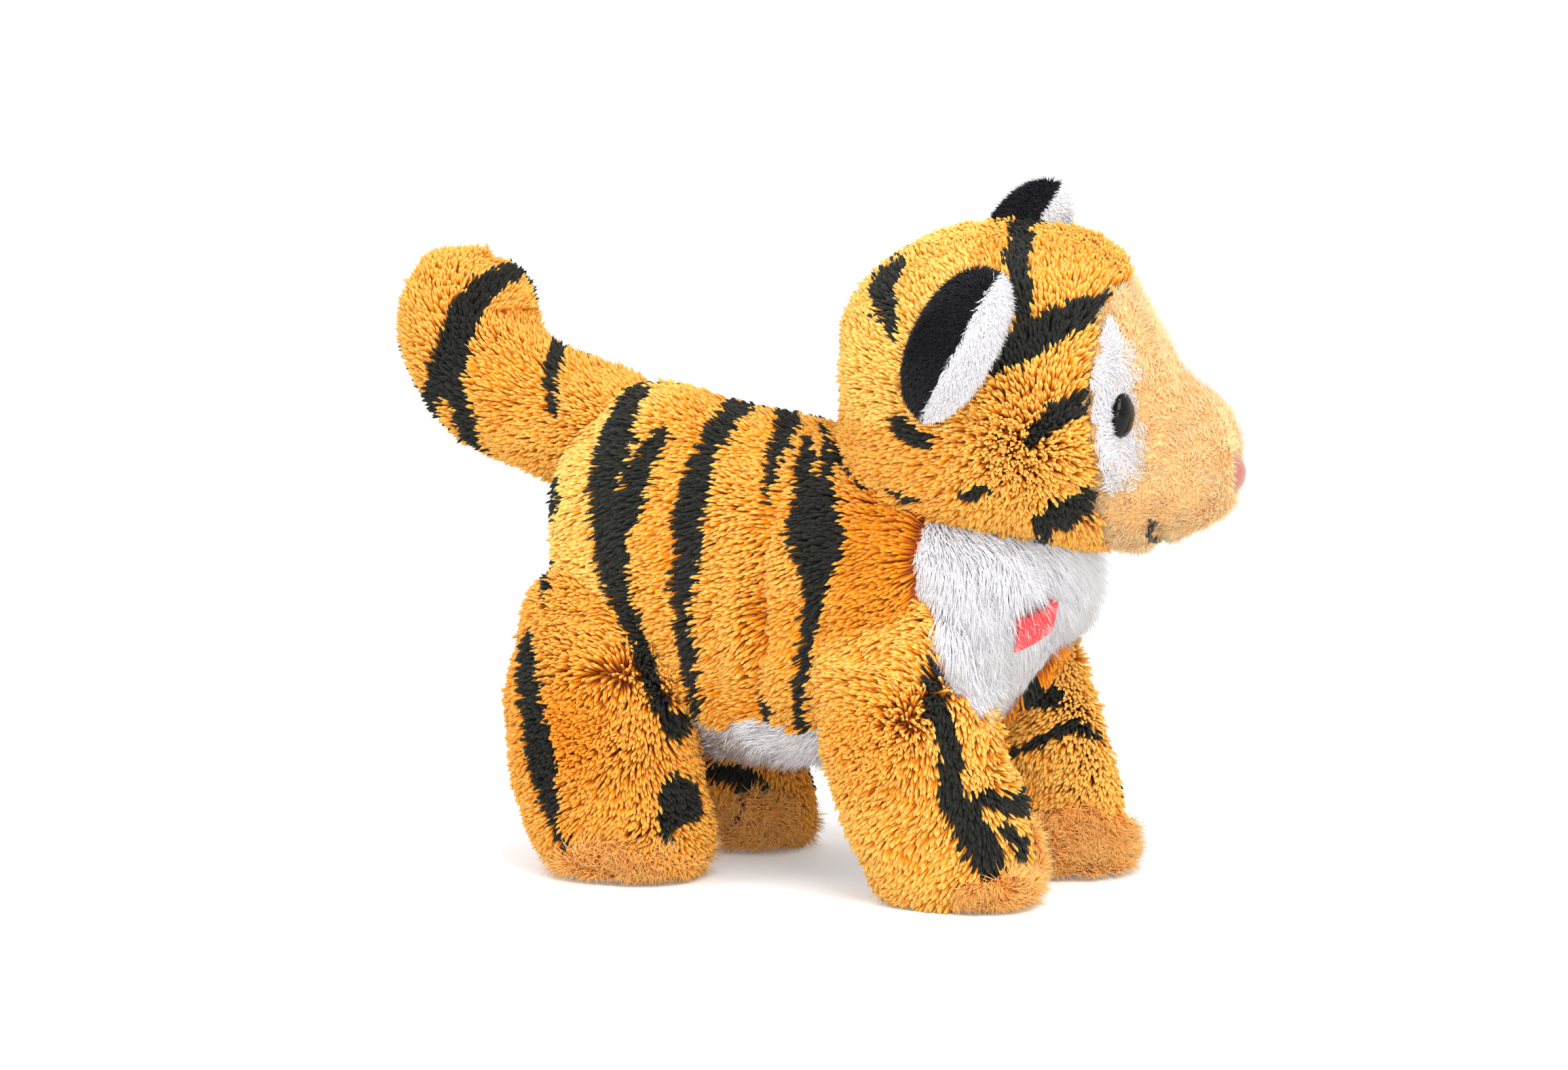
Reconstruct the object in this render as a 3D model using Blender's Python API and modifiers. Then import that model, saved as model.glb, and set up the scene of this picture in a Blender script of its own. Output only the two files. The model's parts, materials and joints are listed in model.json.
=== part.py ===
"""Standing plush tiger with its head turned a little to its left.

Metres, +Z up, the tiger faces +X and stands on the plane z = 0. Every stuffed form is a
loft of rounded sections. A form's fur fabric is a shell a few millimetres thick, and its
stuffing fills the shell. The legs, neck, head, tail and ears flex where they are sewn on,
so each one swings about a pivot, and what carries it is cut clear of that swing.
"""

import math

import bmesh
import bpy
import numpy as np
from mathutils import Matrix, Vector
from mathutils.bvhtree import BVHTree

MM = 0.001

# Place of the trunk's middle plane and of the feet's centre from the part's origin
FEET_CENTRE_X = 10.07 * MM
FEET_CENTRE_Y = 4.81 * MM

# Cloth, seams and running clearances
COVER = 3.0 * MM
SEAM_GAP = 0.3 * MM
SWING_GAP = 0.5 * MM
LEG_ROOM_GAP = 1.0 * MM
HEAD_ROOM_GAP = 0.9 * MM
THREAD_RADIUS = 0.7 * MM
OVERRUN = 30.0 * MM

# Trunk
TRUNK_LENGTH = 155.0 * MM
TRUNK_HEIGHT = 110.0 * MM
TRUNK_WIDTH = 84.0 * MM
TRUNK_BACK_X = -84.0 * MM
BELLY_HEIGHT = 28.0 * MM
BELLY_PANEL_WIDTH = 34.0 * MM
BELLY_PANEL_HEIGHT = 20.0 * MM
BELLY_PANEL_SETBACK = 20.0 * MM
BIB_SETBACK = 27.0 * MM

# Legs
LEG_SPREAD = 31.0 * MM
LEG_LENGTH = 58.0 * MM
LEG_WIDTH = 40.0 * MM
SOLE_THICKNESS = 3.2 * MM
HIND_LEG_HEIGHT = 88.0 * MM
HIND_HIP_X = -59.0 * MM
HIND_HIP_HEIGHT = 58.0 * MM
HIND_FOOT_FORWARD = 10.0 * MM
FRONT_LEG_HEIGHT = 90.0 * MM
FRONT_HIP_X = 33.0 * MM
FRONT_HIP_HEIGHT = 62.0 * MM
FRONT_FOOT_FORWARD = 18.5 * MM
LEG_SWING = 12.0

# Tail
TAIL_RADIUS = 19.0 * MM
TAIL_REACH = 54.0 * MM
TAIL_RISE = 52.0 * MM
TAIL_PIVOT_X = -70.0 * MM
TAIL_PIVOT_HEIGHT = 120.5 * MM
TAIL_SWING = 15.0

# Head
HEAD_LENGTH = 114.0 * MM
HEAD_HEIGHT = 92.0 * MM
HEAD_WIDTH = 98.0 * MM
HEAD_BACK = 43.0 * MM
HEAD_CENTRE_X = 48.0 * MM
HEAD_CENTRE_HEIGHT = 137.0 * MM
HEAD_YAW = 16.0
HEAD_ROLL = 12.0
FACE_SEAM = 31.0 * MM
HEAD_TURN_LEFT = 12.0
HEAD_TURN_RIGHT = 28.0
HEAD_NOD = 8.0

# Neck wad between trunk and head
NECK_RADIUS = 13.0 * MM
NECK_REACH = 12.0 * MM

# Ears
EAR_LENGTH = 44.0 * MM
EAR_DEPTH = 26.0 * MM
EAR_RISE = 21.0 * MM
EAR_SPLIT = 2.0 * MM
EAR_LEAN = 28.0
EAR_SPLAY = 22.0
EAR_SIDE = 44.0 * MM
EAR_HEIGHT = 23.0 * MM
RIGHT_EAR_BACK = 4.0 * MM
LEFT_EAR_FORWARD = 2.0 * MM
EAR_FOLD = 15.0

# Safety eyes, nose and mouth
EYE_DIAMETER = 12.0 * MM
EYE_DOME = 4.5 * MM
EYE_STEM_DIAMETER = 4.0 * MM
EYE_STEM_LENGTH = 11.0 * MM
EYE_WASHER_DIAMETER = 13.0 * MM
EYE_WASHER_THICKNESS = 1.6 * MM
EYE_SIDE = 33.0 * MM
EYE_FORWARD = 38.0 * MM
EYE_RISE = 0.5 * MM
EYE_TURN = 46.0
EYE_STANDOFF = 1.0 * MM
DOME_STEPS = 5
PATCH_THICKNESS = 1.2 * MM
PATCH_HEIGHT = 42.0 * MM
PATCH_WIDTH = 17.0 * MM
PATCH_FORWARD = 34.0 * MM
PATCH_SIDE = 36.0 * MM
PATCH_RISE = 2.0 * MM
PATCH_TURN = 50.0
NOSE_WIDTH = 20.0 * MM
NOSE_HEIGHT = 12.0 * MM
NOSE_THICKNESS = 1.6 * MM
NOSE_ABOVE_CHIN = 25.0 * MM
NOSE_TILT = 0.0
MOUTH_CENTRE = 38.0 * MM
MOUTH_ABOVE_CHIN = 19.0 * MM
MOUTH_SMILE = 5.0 * MM
MOUTH_SPAN = 68.0
MOUTH_POINTS = 21

# Sewn-in fabric tab at the bib
TAB_LENGTH = 12.0 * MM
TAB_WIDTH = 9.0 * MM
TAB_THICKNESS = 0.8 * MM
TAB_HEIGHT = 72.0 * MM
TAB_SIDE = 19.0 * MM

# Rings along, and facets around, each form
TRUNK_RINGS = 15
TRUNK_FACETS = 24
LEG_RINGS = 9
LEG_FACETS = 16
LEG_ROOM_RINGS = 8
LEG_ROOM_FACETS = 12
TAIL_RINGS = 11
TAIL_FACETS = 14
HEAD_RINGS = 16
HEAD_FACETS = 24
EAR_RINGS = 8
EAR_FACETS = 14

# Sections as shares: along the trunk, top, bottom, half-width
TRUNK_SHARES = [
    (0.0, 0.655, 0.545, 0.0),
    (0.013, 0.809, 0.345, 0.238),
    (0.065, 0.927, 0.191, 0.393),
    (0.174, 1.0, 0.064, 0.476),
    (0.329, 0.964, 0.009, 0.5),
    (0.49, 0.909, 0.0, 0.5),
    (0.645, 0.882, 0.027, 0.5),
    (0.787, 0.836, 0.091, 0.476),
    (0.903, 0.745, 0.182, 0.405),
    (0.981, 0.636, 0.291, 0.262),
    (1.0, 0.509, 0.455, 0.0),
]
# Down the leg: height, forward lean, inward shift, half-length, half-width
HIND_LEG_SHARES = [
    (1.0, 0.0, 0.13, 0.0, 0.0),
    (0.966, 0.0, 0.13, 0.224, 0.2),
    (0.875, 0.0, 0.097, 0.397, 0.325),
    (0.68, -0.05, 0.065, 0.517, 0.425),
    (0.51, 0.0, 0.032, 0.517, 0.475),
    (0.318, 0.4, 0.0, 0.466, 0.5),
    (0.136, 0.8, -0.016, 0.431, 0.512),
    (0.036, 1.0, -0.032, 0.379, 0.45),
    (0.0, 1.0, -0.032, 0.328, 0.375),
]
FRONT_LEG_SHARES = [
    (1.0, -0.054, 0.13, 0.0, 0.0),
    (0.966, -0.054, 0.13, 0.224, 0.2),
    (0.878, -0.054, 0.097, 0.379, 0.325),
    (0.69, 0.0, 0.065, 0.466, 0.425),
    (0.5, 0.27, 0.032, 0.483, 0.475),
    (0.311, 0.595, 0.0, 0.483, 0.5),
    (0.133, 0.892, -0.016, 0.448, 0.512),
    (0.033, 0.973, -0.032, 0.397, 0.45),
    (0.0, 1.0, -0.032, 0.345, 0.375),
]
# Out along the tail: back, up, radius
TAIL_SHARES = [
    (-0.26, -0.12, 0.6),
    (0.0, 0.0, 0.95),
    (0.26, 0.067, 0.97),
    (0.556, 0.163, 1.0),
    (0.796, 0.337, 1.053),
    (0.935, 0.567, 1.026),
    (0.92, 0.77, 0.947),
    (0.895, 0.92, 0.7),
    (0.88, 1.0, 0.0),
]
# Forward along the head: top, bottom, half-width
HEAD_SHARES = [
    (0.0, 0.065, -0.065, 0.0),
    (0.018, 0.217, -0.228, 0.204),
    (0.088, 0.348, -0.37, 0.347),
    (0.219, 0.457, -0.467, 0.459),
    (0.377, 0.495, -0.5, 0.5),
    (0.553, 0.473, -0.5, 0.48),
    (0.658, 0.402, -0.489, 0.408),
    (0.737, 0.261, -0.478, 0.327),
    (0.816, 0.098, -0.467, 0.286),
    (0.886, 0.005, -0.446, 0.265),
    (0.947, -0.065, -0.402, 0.214),
    (0.991, -0.152, -0.337, 0.112),
    (1.0, -0.217, -0.283, 0.0),
]
ROUNDNESS_SHARE = 2.2
SKULL_SHARE = 0.75
TURN_STEPS = 5
TURNED_STEPS = 16
DRUM_SIDES = 16

GOLD = (0.92, 0.50, 0.09)
BLACK = (0.03, 0.033, 0.03)
PEACH = (0.96, 0.62, 0.32)
WHITE = (0.93, 0.92, 0.92)
RED = (0.75, 0.12, 0.10)
STUFFING = (0.90, 0.90, 0.88)
EYE_BLACK = (0.012, 0.008, 0.006)
NOSE_BROWN = (0.72, 0.33, 0.24)
CLEAR_PLASTIC = (0.75, 0.76, 0.78)


def fresh_collection(name):
    """Make a collection in the scene."""
    collection = bpy.data.collections.new(name)
    bpy.context.scene.collection.children.link(collection)
    return collection


for old in list(bpy.data.objects):
    bpy.data.objects.remove(old, do_unlink=True)

TIGER = fresh_collection("plush_tiger")
CUTTERS = fresh_collection("cutters")
MATERIALS = {}


def material(name, colour, roughness, metallic=0.0):
    """One Principled material per kind of surface."""
    if name not in MATERIALS:
        made = bpy.data.materials.new(name)
        made.use_nodes = True
        shader = made.node_tree.nodes["Principled BSDF"]
        shader.inputs["Base Color"].default_value = (*colour, 1.0)
        shader.inputs["Roughness"].default_value = roughness
        shader.inputs["Metallic"].default_value = metallic
        made.diffuse_color = (*colour, 1.0)
        MATERIALS[name] = made
    return MATERIALS[name]


def place(x, y, z):
    """A point given from the feet's centre, in the part's own frame."""
    return Vector((x + FEET_CENTRE_X, y + FEET_CENTRE_Y, z))


def curve_through(rows, count):
    """Catmull-Rom curve through the rows, read at even steps."""
    rows = np.asarray(rows, dtype=float)
    padded = np.vstack([2 * rows[0] - rows[1], rows, 2 * rows[-1] - rows[-2]])
    steps = np.linspace(0, len(rows) - 1, count)
    first = np.minimum(steps.astype(int), len(rows) - 2)
    t = (steps - first)[:, None]
    before, here, there, after = (padded[first + k] for k in range(4))
    value = 2 * here + (there - before) * t
    value = value + (2 * before - 5 * here + 4 * there - after) * t ** 2
    value = value + (3 * here - before - 3 * there + after) * t ** 3
    return value / 2


def new_object(name, mesh, collection):
    """Link a mesh as an object of that name."""
    made = bpy.data.objects.new(name, mesh)
    collection.objects.link(made)
    if collection is CUTTERS:
        made.hide_render = True
        made.display_type = "WIRE"
    return made


def loft(name, centres, sides, ups, half_sides, half_ups, around, collection,
         closed_start=True, closed_end=True, flat_end=False):
    """Rounded rings carried along the centres, ends drawn to a point, left open or flat."""
    angle = np.linspace(0, 2 * math.pi, around, endpoint=False)
    power = 2.0 / ROUNDNESS_SHARE
    across = np.sign(np.cos(angle)) * np.abs(np.cos(angle)) ** power
    upward = np.sign(np.sin(angle)) * np.abs(np.sin(angle)) ** power
    rings = (
        centres[:, None, :]
        + (half_sides[:, None] * across)[:, :, None] * sides[:, None, :]
        + (half_ups[:, None] * upward)[:, :, None] * ups[:, None, :]
    )
    shape = bmesh.new()
    first = 1 if closed_start else 0
    last = len(centres) - 1 if closed_end and not flat_end else len(centres)
    loops = [[shape.verts.new(point) for point in ring] for ring in rings[first:last]]
    for near, far in zip(loops, loops[1:]):
        for i in range(around):
            j = (i + 1) % around
            shape.faces.new((near[i], near[j], far[j], far[i]))
    if closed_start:
        pole = shape.verts.new(centres[0])
        for i in range(around):
            shape.faces.new((pole, loops[0][(i + 1) % around], loops[0][i]))
    if flat_end:
        shape.faces.new(loops[-1])
    elif closed_end:
        pole = shape.verts.new(centres[-1])
        for i in range(around):
            shape.faces.new((pole, loops[-1][i], loops[-1][(i + 1) % around]))
    bmesh.ops.recalc_face_normals(shape, faces=shape.faces)
    mesh = bpy.data.meshes.new(name)
    shape.to_mesh(mesh)
    shape.free()
    return new_object(name, mesh, collection)


def axes_along(count, direction):
    """The same direction at every ring."""
    return np.tile(np.array(direction, dtype=float), (count, 1))


def trunk_form(name, collection):
    """Barrel of the body, low at the chest end and high over the rump."""
    rows = curve_through(TRUNK_SHARES, TRUNK_RINGS)
    top = BELLY_HEIGHT + rows[:, 1] * TRUNK_HEIGHT
    bottom = BELLY_HEIGHT + rows[:, 2] * TRUNK_HEIGHT
    centres = np.zeros((len(rows), 3))
    centres[:, 0] = TRUNK_BACK_X + rows[:, 0] * TRUNK_LENGTH + FEET_CENTRE_X
    centres[:, 1] = FEET_CENTRE_Y
    centres[:, 2] = (top + bottom) / 2
    return loft(name, centres, axes_along(len(rows), (0, 1, 0)), axes_along(len(rows), (0, 0, 1)),
                rows[:, 3] * TRUNK_WIDTH, (top - bottom) / 2, TRUNK_FACETS, collection)


def leg_rows(end, side):
    """Centres and half-sizes down one leg; side is -1 on the right and 1 on the left."""
    if end == "hind":
        shares, height, hip_x, lean = HIND_LEG_SHARES, HIND_LEG_HEIGHT, HIND_HIP_X, HIND_FOOT_FORWARD
    else:
        shares, height, hip_x, lean = FRONT_LEG_SHARES, FRONT_LEG_HEIGHT, FRONT_HIP_X, FRONT_FOOT_FORWARD
    rows = np.asarray(shares)
    centres = np.zeros((len(rows), 3))
    centres[:, 0] = hip_x + rows[:, 1] * lean + FEET_CENTRE_X
    centres[:, 1] = side * LEG_SPREAD * (1 - rows[:, 2]) + FEET_CENTRE_Y
    centres[:, 2] = rows[:, 0] * height
    return np.column_stack([centres, rows[:, 3] * LEG_LENGTH, rows[:, 4] * LEG_WIDTH])


def leg_loft(name, rows, collection, around=LEG_FACETS, **ends):
    """Loft of one leg's rows, rings level."""
    count = len(rows)
    return loft(name, rows[:, :3], axes_along(count, (1, 0, 0)), axes_along(count, (0, 1, 0)),
                rows[:, 3], rows[:, 4], around, collection, **ends)


def leg_above(rows, height, count):
    """The leg's rows read evenly from its top down to a level cut."""
    fine = curve_through(rows, count * count)
    kept = fine[fine[:, 2] > height]
    at_cut = [np.interp(height, fine[::-1, 2], fine[::-1, k]) for k in range(fine.shape[1])]
    kept = np.vstack([kept, at_cut])
    travel = np.concatenate([[0], np.cumsum(np.linalg.norm(np.diff(kept, axis=0), axis=1))])
    even = np.linspace(0, travel[-1], count)
    return np.column_stack([np.interp(even, travel, kept[:, k]) for k in range(kept.shape[1])])


def tail_form(name, collection):
    """Tail from its ball root in the rump, out and up to a round tip."""
    rows = curve_through(TAIL_SHARES, TAIL_RINGS)
    centres = np.zeros((len(rows), 3))
    centres[:, 0] = TAIL_PIVOT_X - rows[:, 0] * TAIL_REACH + FEET_CENTRE_X
    centres[:, 1] = FEET_CENTRE_Y
    centres[:, 2] = TAIL_PIVOT_HEIGHT + rows[:, 1] * TAIL_RISE
    along = np.gradient(centres, axis=0)
    along /= np.linalg.norm(along, axis=1, keepdims=True)
    sides = axes_along(len(rows), (0, 1, 0))
    radii = rows[:, 2] * TAIL_RADIUS
    return loft(name, centres, sides, np.cross(along, sides), radii, radii, TAIL_FACETS, collection,
                closed_start=False)


def head_axes():
    """Turn of the head from straight ahead: yaw to its left, then roll."""
    return Matrix.Rotation(math.radians(HEAD_YAW), 3, "Z") @ Matrix.Rotation(math.radians(HEAD_ROLL), 3, "X")


def head_point(x, y, z):
    """A point given forward, left and up from the middle of the skull."""
    middle = place(HEAD_CENTRE_X, 0, HEAD_CENTRE_HEIGHT)
    return middle + head_axes() @ Vector((x, y, z))


def head_form(name, collection, rows_to=None):
    """Round skull that narrows to a broad muzzle."""
    rows = curve_through(HEAD_SHARES, HEAD_RINGS)
    if rows_to:
        rows = rows[rows[:, 0] < rows_to]
    top = rows[:, 1] * HEAD_HEIGHT
    bottom = rows[:, 2] * HEAD_HEIGHT
    turn = np.array(head_axes())
    middle = np.array(place(HEAD_CENTRE_X, 0, HEAD_CENTRE_HEIGHT))
    centres = np.zeros((len(rows), 3))
    centres[:, 0] = rows[:, 0] * HEAD_LENGTH - HEAD_BACK
    centres[:, 2] = (top + bottom) / 2
    centres = centres @ turn.T + middle
    return loft(name, centres, axes_along(len(rows), turn[:, 1]), axes_along(len(rows), turn[:, 2]),
                rows[:, 3] * HEAD_WIDTH, (top - bottom) / 2, HEAD_FACETS, collection,
                flat_end=bool(rows_to))


def moved_points(source, matrix):
    """The evaluated corners of a form after a rigid move."""
    graph = bpy.context.evaluated_depsgraph_get()
    mesh = source.evaluated_get(graph).to_mesh()
    points = [matrix @ source.matrix_world @ vertex.co for vertex in mesh.vertices]
    source.evaluated_get(graph).to_mesh_clear()
    return points


def turning(pivot, axis, degrees):
    """Rotation about an axis through a pivot."""
    shift = Matrix.Translation(pivot)
    return shift @ Matrix.Rotation(math.radians(degrees), 4, axis) @ shift.inverted()


def hull(name, points):
    """The tightest convex solid round the points, as a cutter."""
    shape = bmesh.new()
    for point in points:
        shape.verts.new(point)
    made = bmesh.ops.convex_hull(shape, input=shape.verts)
    unused = made["geom_interior"] + made["geom_unused"]
    spare = {item for item in unused if isinstance(item, bmesh.types.BMVert)}
    bmesh.ops.delete(shape, geom=list(spare), context="VERTS")
    bmesh.ops.recalc_face_normals(shape, faces=shape.faces)
    mesh = bpy.data.meshes.new(name)
    shape.to_mesh(mesh)
    shape.free()
    return new_object(name, mesh, CUTTERS)


def grow(source, depth):
    """Move every face of a form outward, or inward when the depth is negative."""
    step = source.modifiers.new("offset", "DISPLACE")
    step.mid_level = 0.0
    step.strength = depth


def combine(target, cutter, operation="DIFFERENCE"):
    """Exact Boolean left on the object."""
    step = target.modifiers.new(cutter.name, "BOOLEAN")
    step.operation = operation
    step.solver = "EXACT"
    step.object = cutter


def box(name, low, high):
    """Box between two corners, as a cutter."""
    shape = bmesh.new()
    bmesh.ops.create_cube(shape, size=1.0)
    low = Vector(low)
    high = Vector(high)
    for vertex in shape.verts:
        vertex.co = Vector(low[k] + (vertex.co[k] + 0.5) * (high[k] - low[k]) for k in range(3))
    mesh = bpy.data.meshes.new(name)
    shape.to_mesh(mesh)
    shape.free()
    return new_object(name, mesh, CUTTERS)


def drum(name, radius, depth, matrix, collection, sides=DRUM_SIDES):
    """Cylinder along the matrix's Z axis, centred on it."""
    shape = bmesh.new()
    bmesh.ops.create_cone(shape, cap_ends=True, segments=sides, radius1=radius, radius2=radius, depth=depth)
    shape.transform(matrix)
    mesh = bpy.data.meshes.new(name)
    shape.to_mesh(mesh)
    shape.free()
    return new_object(name, mesh, collection)


def finish(target, finish_material, pivot):
    """Give a piece its material and put its origin on its joint's pivot."""
    target.data.materials.append(finish_material)
    target.data.shade_smooth()
    target.data.transform(Matrix.Translation(-pivot))
    target.location = pivot


def close_holes(mesh):
    """Cap the open ends of a mesh."""
    shape = bmesh.new()
    shape.from_mesh(mesh)
    bmesh.ops.holes_fill(shape, edges=shape.edges)
    bmesh.ops.recalc_face_normals(shape, faces=shape.faces)
    shape.to_mesh(mesh)
    shape.free()


def inside(source, name, depth):
    """A closed solid that fills an open form, set in from its surface."""
    mesh = source.data.copy()
    corners = [vertex.co - vertex.normal * depth for vertex in source.data.vertices]
    mesh.vertices.foreach_set("co", np.array(corners).ravel())
    close_holes(mesh)
    return new_object(name, mesh, TIGER)


def skin(target):
    """Give an open form the thickness of its fur fabric, inward."""
    step = target.modifiers.new("fabric", "SOLIDIFY")
    step.thickness = COVER
    step.offset = -1.0
    step.use_even_offset = False


def head_box(name, low, high):
    """Box along the head's own axes, as a cutter."""
    made = box(name, low, high)
    made.data.transform(Matrix.Translation(head_point(0, 0, 0)) @ head_axes().to_4x4())
    return made


def turned(name, profile, matrix, collection, ring=False, steps=TURNED_STEPS):
    """Turn a profile, given as radius and height from its top down, about the matrix's Z."""
    mesh = bpy.data.meshes.new(name)
    edges = [(k, k + 1) for k in range(len(profile) - 1)]
    if ring:
        edges.append((len(profile) - 1, 0))
    mesh.from_pydata([(radius, 0, height) for radius, height in profile], edges, [])
    made = new_object(name, mesh, collection)
    step = made.modifiers.new("turn", "SCREW")
    step.steps = steps
    step.render_steps = steps
    step.use_merge_vertices = True
    step.merge_threshold = THREAD_RADIUS / 100
    made.matrix_world = matrix
    return made


def facing(point, direction):
    """A matrix at a point whose Z axis runs along a direction."""
    return Matrix.Translation(point) @ direction.to_track_quat("Z", "Y").to_matrix().to_4x4()


def head_direction(turn, side, drop=0.0):
    """Unit direction in the head's axes, turned out from straight ahead and dropped."""
    angle = math.radians(turn)
    fall = math.radians(drop)
    level = math.cos(fall)
    local = Vector((math.cos(angle) * level, side * math.sin(angle) * level, -math.sin(fall)))
    return head_axes() @ local


def pad_on_head(name, middle, direction, height, width, thickness, pad_material, skin_form):
    """A thin pad with an oval outline that lies on the head's skin form."""
    outline = drum(f"{name}_outline", 1.0, HEAD_LENGTH / 4, Matrix.Diagonal((width / 2, height / 2, 1, 1)),
                   CUTTERS)
    outline.data.transform(facing(middle, direction))
    pad = head_form(name, TIGER)
    grow(pad, SEAM_GAP + thickness)
    combine(pad, outline, "INTERSECT")
    combine(pad, skin_form)
    finish(pad, pad_material, head_point(0, 0, 0))
    return pad


def on_head(tree, middle, direction, clearance=0.0):
    """The point of the head's skin straight out from a middle point, stood off by a clearance."""
    hit, normal, _, _ = tree.ray_cast(middle + direction * HEAD_LENGTH, -direction)
    return hit + normal * clearance


gold_fur = material("gold_fur", GOLD, 0.9)
peach_fur = material("peach_fur", PEACH, 0.9)
white_fur = material("white_fur", WHITE, 0.9)
black_velour = material("black_velour", BLACK, 0.85)
stuffing = material("stuffing", STUFFING, 0.95)
red_tape = material("red_tape", RED, 0.6)
eye_plastic = material("eye_plastic", EYE_BLACK, 0.08)
clear_plastic = material("clear_plastic", CLEAR_PLASTIC, 0.3)
nose_satin = material("nose_satin", NOSE_BROWN, 0.45)
black_thread = material("black_thread", BLACK, 0.7)

trunk_pivot = place(0, 0, 0)
neck_pivot = place(HEAD_CENTRE_X, 0, HEAD_CENTRE_HEIGHT)
tail_pivot = place(TAIL_PIVOT_X, 0, TAIL_PIVOT_HEIGHT)
head_left = head_axes() @ Vector((0, 1, 0))
nod_axis = Vector((head_left.x, head_left.y, 0)).normalized()

# Legs: cover, stuffing and sole, and the room that each swing needs in the trunk
leg_rooms = []
for end, hip_x, hip_height in (
    ("hind", HIND_HIP_X, HIND_HIP_HEIGHT),
    ("front", FRONT_HIP_X, FRONT_HIP_HEIGHT),
):
    for side, side_name in ((-1, "right"), (1, "left")):
        label = f"{end}_leg_{side_name}"
        pivot = place(hip_x, side * LEG_SPREAD, hip_height)
        full = leg_rows(end, side)
        upper = leg_above(full, SOLE_THICKNESS, LEG_RINGS)

        room_rows = leg_above(full, SOLE_THICKNESS, LEG_ROOM_RINGS)
        room_rows[:, 3:] /= math.cos(math.pi / LEG_ROOM_FACETS)
        room_form = leg_loft(f"{label}_room_form", room_rows, CUTTERS, around=LEG_ROOM_FACETS, flat_end=True)
        grow(room_form, LEG_ROOM_GAP)
        swept = []
        for degrees in (-LEG_SWING, 0, LEG_SWING):
            swept += moved_points(room_form, turning(pivot, "Y", degrees))
        leg_rooms.append(hull(f"{label}_room", swept))
        bpy.data.objects.remove(room_form)

        cover = leg_loft(f"{label}_cover", upper, TIGER, closed_end=False)
        core = inside(cover, f"{label}_stuffing", COVER + SEAM_GAP)
        finish(core, stuffing, pivot)
        skin(cover)
        finish(cover, gold_fur, pivot)

        foot = leg_above(full, SOLE_THICKNESS - SEAM_GAP, LEG_RINGS)
        sole_rows = np.vstack([foot[-1], full[-1]])
        sole = leg_loft(f"{label}_sole", sole_rows, TIGER, closed_start=False, flat_end=True)
        close_holes(sole.data)
        finish(sole, peach_fur, pivot)

# Tail, its ball root held in the rump
tail = tail_form("tail_cover", TIGER)
tail_reach_in = TAIL_RADIUS + TAIL_REACH / 2
tail_swept = []
for degrees in (-TAIL_SWING, -TAIL_SWING / 2, 0, TAIL_SWING / 2, TAIL_SWING):
    tail_swept += moved_points(tail, turning(tail_pivot, "Z", degrees))
tail_room = hull("tail_room", [point for point in tail_swept if (point - tail_pivot).length < tail_reach_in])
grow(tail_room, SWING_GAP)
tail_core = inside(tail, "tail_stuffing", COVER + SEAM_GAP)
finish(tail_core, stuffing, tail_pivot)
skin(tail)
finish(tail, gold_fur, tail_pivot)

# Head forms that its pieces and its neighbours are cut by
skull = head_form("skull_room_form", CUTTERS, rows_to=SKULL_SHARE)
head_swept = []
nod_swept = []
for nod in (-HEAD_NOD, 0, HEAD_NOD):
    nodding = turning(neck_pivot, nod_axis, nod)
    nod_swept += moved_points(skull, nodding)
    for turn in np.linspace(-HEAD_TURN_RIGHT, HEAD_TURN_LEFT, TURN_STEPS):
        head_swept += moved_points(skull, turning(neck_pivot, "Z", turn) @ nodding)
bpy.data.objects.remove(skull)
head_room = hull("head_room", head_swept)
grow(head_room, HEAD_ROOM_GAP)
nod_room = hull("nod_room", nod_swept)
grow(nod_room, SWING_GAP)
head_inner = head_form("head_inner", CUTTERS)
grow(head_inner, -COVER)
head_outer = head_form("head_outer", CUTTERS)
grow(head_outer, SEAM_GAP)

# Neck wad, turning in a round pocket at the top of the chest
neck_depth = HEAD_HEIGHT / 4 + NECK_REACH
neck_middle = Matrix.Translation(neck_pivot - Vector((0, 0, HEAD_HEIGHT / 2 + NECK_REACH - neck_depth / 2)))
neck = drum("neck_stuffing", NECK_RADIUS, neck_depth, neck_middle, TIGER)
combine(neck, nod_room)
finish(neck, stuffing, neck_pivot)
neck_room = drum("neck_room", NECK_RADIUS + SWING_GAP, neck_depth + 2 * SWING_GAP, neck_middle, CUTTERS)

# Trunk panels and the stuffing inside them
trunk_inner = trunk_form("trunk_inner", CUTTERS)
grow(trunk_inner, -COVER)
trunk_outer = trunk_form("trunk_outer", CUTTERS)
grow(trunk_outer, SEAM_GAP)
trunk_rooms = leg_rooms + [tail_room, head_room, neck_room]
half_seam = SEAM_GAP / 2
back_x = TRUNK_BACK_X - OVERRUN
front_x = TRUNK_BACK_X + TRUNK_LENGTH + OVERRUN
bib_x = TRUNK_BACK_X + TRUNK_LENGTH - BIB_SETBACK
belly_top = BELLY_HEIGHT + BELLY_PANEL_HEIGHT
belly_back = TRUNK_BACK_X + BELLY_PANEL_SETBACK
belly_side = BELLY_PANEL_WIDTH / 2
top = BELLY_HEIGHT + TRUNK_HEIGHT + OVERRUN
side_y = TRUNK_WIDTH / 2 + OVERRUN
belly_zone = box("belly_zone", place(belly_back - half_seam, -belly_side - half_seam, -OVERRUN),
                 place(bib_x + OVERRUN, belly_side + half_seam, belly_top + half_seam))
belly_keep = box("belly_keep", place(belly_back + half_seam, -belly_side + half_seam, -OVERRUN),
                 place(bib_x - half_seam, belly_side - half_seam, belly_top - half_seam))
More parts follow.
